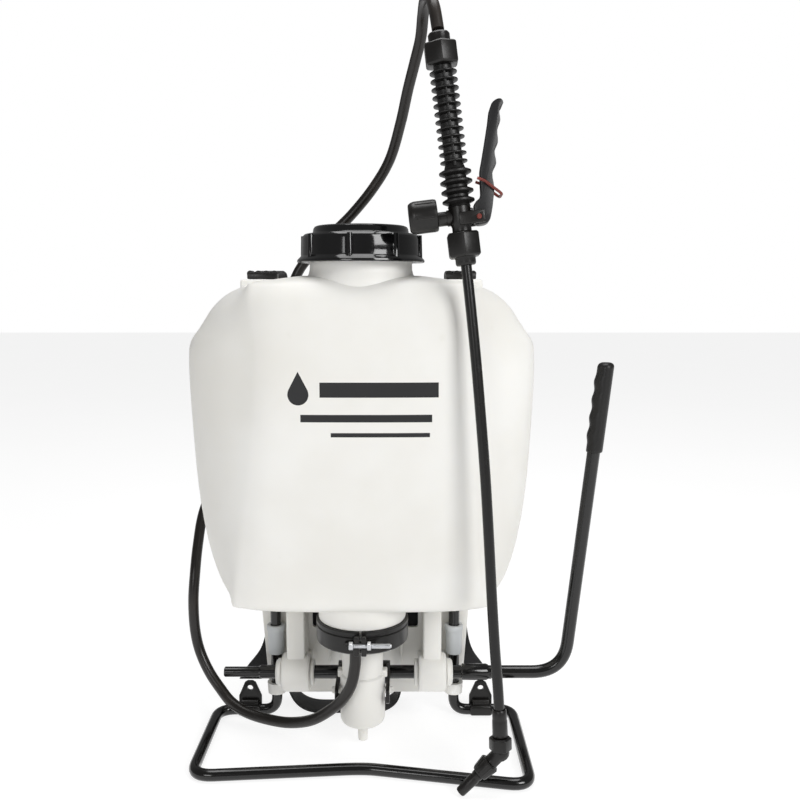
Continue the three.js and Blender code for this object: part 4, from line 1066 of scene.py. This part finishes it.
valve = turned("valve_casting", [
    (0, 28.2), (8.2, 28.2), (8.7, 28.8), (8.7, 33), (9.4, 35), (10, 38), (10, 50.6), (6.6, 50.6),
    (6.6, 67), (0, 67)])
barrel = rod("barrel", (-20, 0, 42), (4, 0, 42), 6.4, sides=40)
chest = block("chest", (-2, -8.4, 33.5), (7.2, 8.4, 45), 1.2)
ears = [block("ear", (-2, low, 33.5), (21, low + 3.1, 45), 1.0) for low in (-11.6, 8.5)]
band_ring = rod("band_ring", (-12, 0, 42), (-9.4, 0, 42), 7.2, sides=40)
unite(valve, barrel, band_ring, chest, *ears)
carve(valve, rod("pin_bore", (-4, 0, 47.2), (16, 0, 47.2), 2.5),
      pivot_rod("pivot_bore", 14, 2.6),
      rod("spring_bore", (-30, 0, 42), (-4, 0, 42), 4.6))
fit_wand(valve, "matt_black", "valve_body")

valve_cap = lathe_between("valve_end_cap", (-20.5, 0, 46), (-46, 0, 46), [
    (4, 0), (13.4, 0), (14.2, 0.8), (14.6, 3), (14.6, 20), (13.8, 23), (12.2, 25.2), (11, 25.5),
    (6.6, 25.5), (5.4, 24.6), (4, 22.5), (4, 21), (8, 21), (8, 4), (4, 4)], 48)
facets = [rod("rib", (-24, 14 * math.cos(t), 46 + 14 * math.sin(t)),
              (-40, 14 * math.cos(t), 46 + 14 * math.sin(t)), 1.3, 1.1, 12)
          for t in [math.radians(60 * i + 15) for i in range(6)]]
fit_wand(unite(valve_cap, *facets), "matt_black", "valve_cap")
pin = lathe_between("valve_push_pin", (-1.6, 0, 47.2), (11.8, 0, 47.2), [
    (0, 0), (2, 0), (2, 12.2), (1.8, 13), (1.2, 13.4), (0, 13.4)], 32)
fit_wand(pin, "chrome", "valve_pin", body="pin_body")

# %% Trigger, its pin and the lock
TRIGGER_OUTLINE = [
    (38.4, 136.4), (33.8, 121), (29, 104), (24.6, 89), (22, 80), (21, 68), (19.5, 57), (13.2, 51.2),
    (12.6, 44), (10.6, 40), (11.6, 34.6), (16, 32.6), (24, 34), (27.6, 42), (30.6, 54), (32.4, 63),
    (32.2, 76), (36.6, 84), (36.4, 94.6), (40.2, 102), (41, 113), (44.6, 121), (44.9, 130),
    (49.1, 136), (47.6, 139.6), (44, 140)]
fingers = smooth_line([(u, v, 0) for u, v in TRIGGER_OUTLINE], 3, closed=True)
trigger = plate("trigger_channel", [(p.x, p.y) for p in fingers], -8, 8, "Y")
round_edges(trigger, 0.8, angle=50)
channel = plate("channel", [
    (36, 134), (20, 88), (14, 60), (24, 56), (28, 76), (32.4, 96), (37.4, 120), (41.6, 134)],
    -5.6, 5.6, "Y")
carve(trigger, round_edges(channel, 1.0),
      pivot_rod("pivot_bore", 14, 2.6),
      rod("clip_bore", (24, -14, 70), (24, 14, 70), 1.9))
fit_wand(trigger, "trigger_grey", "trigger", body="trigger_body")
pivot_pin = lathe_between("trigger_red_pin", (PIVOT_X, -12.8, PIVOT_Z), (PIVOT_X, 12.8, PIVOT_Z), [
    (0, 0), (1.6, 0), (2.3, 0.7), (2.3, 24.9), (1.6, 25.6), (0, 25.6)], 32)
fit_wand(pivot_pin, "lock_red", "trigger_pivot", body="trigger_body")


def lock_wire():
    side = 9.6
    loop = bent_line([((18, -side, 73), 0), ((24, -side, 70), 2), ((38.2, -side, 56.5), 4),
                      ((38.2, side, 56.5), 4), ((24, side, 70), 2), ((18, side, 73), 0)], 6)
    clip = swept("lock_clip_wire", loop, 1.3, 5)
    return unite(clip, rod("cross_pin", (24, -side, 70), (24, side, 70), 1.3, sides=20))


fit_wand(lock_wire(), "lock_red", "lock_clip", body="lock_body")

# %% Lance nut
lance_nut = hexagon("lance_coupling", 16, 5.8, 27.9, 1.6)
unite(lance_nut, turned("skirt", [
    (0, -1.4), (8.2, -1.4), (9, -0.4), (9.2, 1), (9.2, 4.4), (10.6, 7.4), (0, 7.4)]))
carve(lance_nut, rod("lance_bore", (0, 0, -4), (0, 0, 20), 5.2),
      rod("stem_bore", (0, 0, 20), (0, 0, 30), 5.6))
fit_wand(lance_nut, "matt_black", "lance_nut")

# %% [markdown]
# ## The lance and its nozzle
# A slim tube bows gently down the front to an angled nozzle: collar, elbow with a hexagon,
# ribbed nut and a tip with a small bore.

# %% Lance and nozzle
LANCE_RADIUS = 4.9
COLLAR_TOP, COLLAR_LOW = Vector((129.6, -31, 82)), Vector((130.6, -33, 56))
ELBOW, TIP_END = Vector((131, -34, 41)), Vector((93.6, -37.4, 3.6))
nozzle_way = (TIP_END - ELBOW).normalized()


def nozzle_at(distance):
    return ELBOW + nozzle_way * distance


lance_route = [
    WAND_FOOT + wand_up * 15, WAND_FOOT, (101.3, -2.8, 455.6), (106.9, -6.9, 401.7),
    (111.7, -10.9, 347.5), (116, -15, 293), (119.4, -19.1, 238), (122.4, -23.3, 183),
    (125.4, -26.8, 136.5), (128.4, -29.8, 99), COLLAR_TOP.lerp(COLLAR_LOW, 0.5)]
lance = swept("lance_bowed_tube", smooth_line(lance_route, 8), LANCE_RADIUS, 6)
fit(lance, "lance_black", "lance_tube")

collar = lathe_between("lance_end_collar", COLLAR_TOP.lerp(COLLAR_LOW, 0.02), COLLAR_LOW, [
    (5.5, 0), (5.9, 0), (6.6, 1), (6.8, 8), (6.6, 9), (7, 10.4), (7.2, 24.4), (6.6, 25.4),
    (0, 25.4), (0, 16.5), (5.5, 16.5)])
fit(collar, "matt_black", "lance_collar")

hex_start, hex_end = COLLAR_LOW.lerp(ELBOW, 0.03), COLLAR_LOW.lerp(ELBOW, 0.85)
elbow = laid(hexagon("nozzle_elbow_moulding", 10.6, 0, (hex_end - hex_start).length, 1.0),
             hex_start, hex_end)
knuckle = lathe_between("knuckle", ELBOW - nozzle_way * 8.2, ELBOW, [
    (0, 0), (3.2, 0.6), (5.8, 2.4), (7.5, 4.9), (8.2, 8.2), (7.6, 11.4), (6.6, 13), (6.6, 20.6),
    (3.4, 20.8), (3.4, 29.2), (0, 29.2)])
fit(unite(elbow, knuckle), "matt_black", "nozzle_elbow")

nozzle_nut = lathe_between("nozzle_union_nut", nozzle_at(13), nozzle_at(28), [
    (3.7, 0), (8.2, 0), (9.2, 1), (9, 4), (7.8, 13.8), (7, 15), (3.7, 15)], 48)
ridges = []
for turn in [2 * math.pi * i / 12 for i in range(12)]:
    ridge = rod("ridge", (8.9 * math.cos(turn), 8.9 * math.sin(turn), 1.4),
                (7.5 * math.cos(turn), 7.5 * math.sin(turn), 13), 0.7, 0.6, 10)
    ridges.append(laid(ridge, nozzle_at(13), nozzle_at(28)))
carve(nozzle_nut, rod("stub_clear", nozzle_at(12), nozzle_at(12.8), 6.8))
fit(unite(nozzle_nut, *ridges), "matt_black", "nozzle_nut")

tip_length = (TIP_END - ELBOW).length - 28.4
tip = lathe_between("nozzle_spray_tip", nozzle_at(28.4), TIP_END, [
    (0, 0), (4.8, 0), (5.4, 0.6), (5.4, 3), (4.9, 4), (4.9, 5), (5.3, 6), (4.8, tip_length - 1.2),
    (4.2, tip_length), (2.2, tip_length), (1.4, tip_length - 1.6), (1.4, 11), (0, 11)])
fit(tip, "matt_black", "nozzle_tip", body="tip_body")

# %% [markdown]
# ## The harness
# Two foam shoulder pads, a lumbar pad and flat nylon webbing make the harness. The webbing is
# thin and stiff, so it is modelled directly as a band along a line. The pads are blown up by a
# cloth simulation, which crowns them and pulls their edges in as real foam in fabric does; the
# binding, the sewn channels and the stitches are added after it.

# %% Bands along a line
FLAT_SECTION = [
    (-1, -0.4), (-0.97, -0.85), (-0.92, -1), (-0.45, -1), (0, -1), (0.45, -1), (0.92, -1),
    (0.97, -0.85), (1, -0.4), (1, 0.4), (0.97, 0.85), (0.92, 1), (0.45, 1), (0, 1), (-0.45, 1),
    (-0.92, 1), (-0.97, 0.85), (-1, 0.4)]


def smoothstep(value, low, high):
    t = max(0.0, min(1.0, (value - low) / (high - low)))
    return t * t * (3 - 2 * t)


def along(line, across):
    """Each point of a line with its share of the length and the direction square to the band."""
    across = Vector(across)
    steps = [0.0] + [(b - a).length for a, b in zip(line, line[1:])]
    whole, gone, places = sum(steps), 0.0, []
    for i, point in enumerate(line):
        gone += steps[i]
        tangent = line[min(i + 1, len(line) - 1)] - line[max(i - 1, 0)]
        places.append((point, gone / whole, tangent.cross(across).normalized()))
    return places


def band(name, places, width, thickness, across=(1, 0, 0), lift=lambda share: 0.0):
    """A flat band; width, thickness and lift are functions of the share of the whole length."""
    across = Vector(across)
    rings = []
    for point, share, normal in places:
        middle = point - normal * lift(share)
        side, half = width(share) / 2, thickness(share) / 2
        rings.append([middle + across * (u * side) + normal * (v * half) for u, v in FLAT_SECTION])
    return lofted(name, rings)


def same(value):
    return lambda share: value


STITCH_PITCH = 3.4


def stitches(name, rows):
    """Rows of short threads, each a slim six-sided bead that lies along its line."""
    bead = rod("bead", (-1.1, 0, 0), (1.1, 0, 0), 0.32, sides=6)
    shape = bmesh.new()
    for start, end in [stretch for points in rows for stretch in zip(points, points[1:])]:
        for k in range(int((end - start).length / STITCH_PITCH)):
            spot = start.lerp(end, (k + 0.5) * STITCH_PITCH / (end - start).length)
            copy = bead.data.copy()
            turn = (end - start).to_track_quat("X", "Z").to_matrix().to_4x4()
            copy.transform(Matrix.Translation(spot * MM) @ turn)
            shape.from_mesh(copy)
            bpy.data.meshes.remove(copy)
    mesh = bpy.data.meshes.new(name)
    shape.to_mesh(mesh)
    shape.free()
    bpy.data.objects.remove(bead)
    return link(name, mesh)


# %% Puffing a pad up with cloth
PUFF_PRESSURE, PUFF_FRAMES = 4.0, 20


def puffed(piece, most, voxel):
    """Remeshes a pad, blows it up as cloth and holds each point within a few millimetres."""
    modify(piece, "REMESH", mode="VOXEL", voxel_size=voxel * MM)
    start = [vertex.co.copy() for vertex in piece.data.vertices]
    pick(piece)
    step = piece.modifiers.new("Puff", "CLOTH")
    step.settings.use_pressure = True
    step.settings.uniform_pressure_force = PUFF_PRESSURE
    step.settings.effector_weights.gravity = 0
    step.point_cache.frame_start = 1
    step.point_cache.frame_end = PUFF_FRAMES
    for moment in range(1, PUFF_FRAMES + 1):
        scene.frame_set(moment)
    bpy.ops.object.modifier_apply(modifier=step.name)
    scene.frame_set(1)
    for vertex, was in zip(piece.data.vertices, start):
        move = vertex.co - was
        if move.length > most * MM:
            vertex.co = was + move.normalized() * most * MM
    modify(piece, "SMOOTH", factor=0.5, iterations=3)
    return modify(piece, "SUBSURF", levels=1, render_levels=1)


def sew(piece, lines, depth, half):
    """Draws the surface in along sewn lines; each line is a function that gives a distance."""
    normals = [vertex.normal.copy() for vertex in piece.data.vertices]
    for vertex, normal in zip(piece.data.vertices, normals):
        away = min(line(vertex.co / MM) for line in lines)
        vertex.co -= normal * depth * MM * math.exp(-(away / half) ** 2)
    return piece


# %% Shoulder pads and their webbing
STRAP_END_X = 125
# share of the way out, Y, Z
STRAP_POINTS = [
    (0, 100.6, 481), (0, 140, 482.5), (0, 168, 483), (0, 190, 479), (0.05, 203.5, 465.6),
    (0.1, 212, 442.4), (0.25, 224, 400.5), (0.45, 234, 340), (0.65, 237, 279.6),
    (0.85, 232, 220.7), (1, 220, 168)]
PAD_START = 0.25


def pad_thickness(share):
    return 8.8 * smoothstep(share, 0.22, 0.36) * (1 - 0.5 * smoothstep(share, 0.93, 1))


def pad_width(share):
    return 28 + 30 * smoothstep(share, 0.2, 0.4) * (1 - 0.45 * smoothstep(share, 0.86, 1))


def shoulder_side(side, name):
    node = "shoulder_strap_" + name
    line = smooth_line([(side * (STRAP_TOP_X + (STRAP_END_X - STRAP_TOP_X) * out), y, z)
                        for out, y, z in STRAP_POINTS], 12)
    places = along(line, (1, 0, 0))
    padded_places = [place for place in places if place[1] >= PAD_START]
    pad = band("shoulder_pad_" + name, padded_places, lambda s: pad_width(s) - 1,
               lambda s: 3 + pad_thickness(s) * 0.42)
    puffed(pad, 3.2, 4.2)
    fit(pad, "padded_fabric", node)

    def edge(u):
        return [point + Vector((u * (pad_width(s) / 2 - 3.9), 0, 0))
                for point, s, _ in padded_places[2:-1]]

    def proud(s):
        return 0.9 + (pad_thickness(s) * 0.42 + 3.4) * smoothstep(s, 0.24, 0.34) * 0.92

    binding = swept("shoulder_binding_" + name, edge(-1) + edge(1)[::-1] + edge(-1)[:1], 2.1, 3)
    fit(binding, "padded_fabric", node)
    strip = band("shoulder_webbing_" + name, places, same(24), same(1.7), lift=proud)
    fit(strip, "webbing", node)
    rows = [[point - normal * (proud(s) + 0.95) + Vector((u * 10, 0, 0))
             for point, s, normal in padded_places[4:-6:3]] for u in (-1, 1)]
    fit(stitches("shoulder_stitches_" + name, rows), "webbing", node)


for side, name in SIDES:
    shoulder_side(side, name)


# %% Lower webbing with its ladder buckle
# how far inwards it hangs from its saddle, Y, Z
LOWER_POINTS = [(2, 218.5, 161), (14, 208, 128), (24, 186, 92), (20, 163, 62), (7, 145, 47),
                (0, 131.6, 38)]


def lower_side(side, name):
    node = "lower_webbing_" + name
    line = smooth_line([(side * (SADDLE_X - inward), y, z) for inward, y, z in LOWER_POINTS], 10)
    places = along(line, (1, 0, 0))
    fit(band("lower_webbing_strip_" + name, places, same(24.5), same(1.8)), "webbing", node)

    point, _, normal = places[5]
    down = Vector((1, 0, 0)).cross(normal)
    frame_matrix = Matrix((Vector((1, 0, 0)), down, normal)).transposed().to_4x4()
    ladder = block("ladder_buckle_" + name, (-17, -12, -2.6), (17, 12, 2.6), 1.3, 3)
    carve(ladder, *[block("slot", (-13, low, -6), (13, high, 6))
                    for low, high in ((-8.4, -3), (0.6, 5.4))])
    unite(ladder, rod("bar", (-15, 9.6, 1.8), (15, 9.6, 1.8), 2.4, sides=20))
    ladder.data.transform(Matrix.Translation(point * MM) @ frame_matrix)
    fit(ladder, "matt_black", node)


for side, name in SIDES:
    lower_side(side, name)


# %% Lumbar pad and waist strap
def lumbar_rings():
    rings = []
    for z, x, grow in ((50, 70, 0), (54, 80, 1), (95, 86, 3), (138, 82, 1), (143, 72, 0)):
        front, back = 143, 153 + grow
        rings.append([(px, py, z) for px, py in (
            (-x, front + 4), (-x + 6, front + 1), (0, front), (x - 6, front + 1), (x, front + 4),
            (x, back - 4), (x - 8, back), (0, back + 1), (-x + 8, back), (-x, back - 4))])
    return rings


lumbar = puffed(lofted("lumbar_pad_cover", lumbar_rings()), 4.5, 4.5)
channel_lines = [lambda p, z=z: abs(p.z - z) + 40 * (p.y < 147) for z in (73, 96, 119)]
sew(lumbar, channel_lines, 2.6, 3.2)
fit(lumbar, "padded_fabric", "lumbar_pad")
RIM = [(-76, 62), (-81, 96), (-77, 130), (-67, 138), (67, 138), (77, 130), (81, 96), (76, 62),
       (65, 55.5), (-65, 55.5)]
rim_line = smooth_line([(x, 149.5, z) for x, z in RIM], 6, closed=True)
fit(swept("lumbar_binding", rim_line, 2.4, 3), "padded_fabric", "lumbar_pad")

waist_line = smooth_line([
    (-91, 160, 46), (-88, 158, 26), (-78, 149, 9.5), (-60, 137, 4.6), (-15, 136, 4.4),
    (18, 137, 4.6), (34, 149, 9.5), (40, 158, 26), (42, 160, 46)], 10)
waist_strap = band("waist_strap_webbing", along(waist_line, (0, 1, 0)), same(31), same(2.2),
                   across=(0, 1, 0))
fit(waist_strap, "webbing", "waist_strap")

# %% [markdown]
# ## Light and floor
# Three soft boxes and a dim surround give the even light of a product table. The floor is one pale
# sheet that glows a little, as paper lit from below does. It comes close to the white air behind
# it, but its far edge can still be seen as a faint line. The camera sees the air as pure white,
# while only the dim surround lights the pieces.

# %% Floor
FLOOR_Z = -0.0004
floor = mesh_piece("floor", [(x, y, FLOOR_Z) for x, y in ((-9, -9), (9, -9), (9, 9), (-9, 9))],
                   [], [(0, 1, 2, 3)])
floor_finish = Finish("floor_paper", Roughness=0.7, Specular_IOR_Level=0.1,
                      Emission_Color=(1, 1, 1, 1), Emission_Strength=0.82)
floor_finish.feed("Base Color", floor_finish.blend(
    floor_finish.noise(3, 2), (0.28, 0.28, 0.28), (0.31, 0.31, 0.31)))
floor.data.materials.append(floor_finish.material)
print("floor laid")


# %% Lights
SURROUND, BACKDROP = 0.22, 1.0


def soft_box(name, place, target, power, size):
    lamp = bpy.data.lights.new(name, "AREA")
    lamp.energy = power
    lamp.size = size
    holder = link(name, lamp)
    holder.location = place
    look = Vector(target) - Vector(place)
    holder.rotation_euler = look.to_track_quat("-Z", "Y").to_euler()


def glow(strength):
    made = air.nodes.new("ShaderNodeBackground")
    made.inputs["Color"].default_value = (1, 1, 1, 1)
    made.inputs["Strength"].default_value = strength
    return made.outputs[0]


soft_box("key", (1.4, -1.6, 1.4), (0, 0.05, 0.3), 30, 1.0)
soft_box("fill", (-0.9, -2.0, 0.9), (0, 0.05, 0.3), 7, 0.7)
soft_box("top", (0, 0.3, 2.2), (0, 0.05, 0.2), 24, 1.4)
scene.world = bpy.data.worlds.new("surround")
scene.world.use_nodes = True
air = scene.world.node_tree
choice = air.nodes.new("ShaderNodeMixShader")
air.links.new(air.nodes.new("ShaderNodeLightPath").outputs["Is Camera Ray"], choice.inputs[0])
air.links.new(glow(SURROUND), choice.inputs[1])
air.links.new(glow(BACKDROP), choice.inputs[2])
air.links.new(choice.outputs[0], air.nodes["World Output"].inputs["Surface"])
print("lights set")
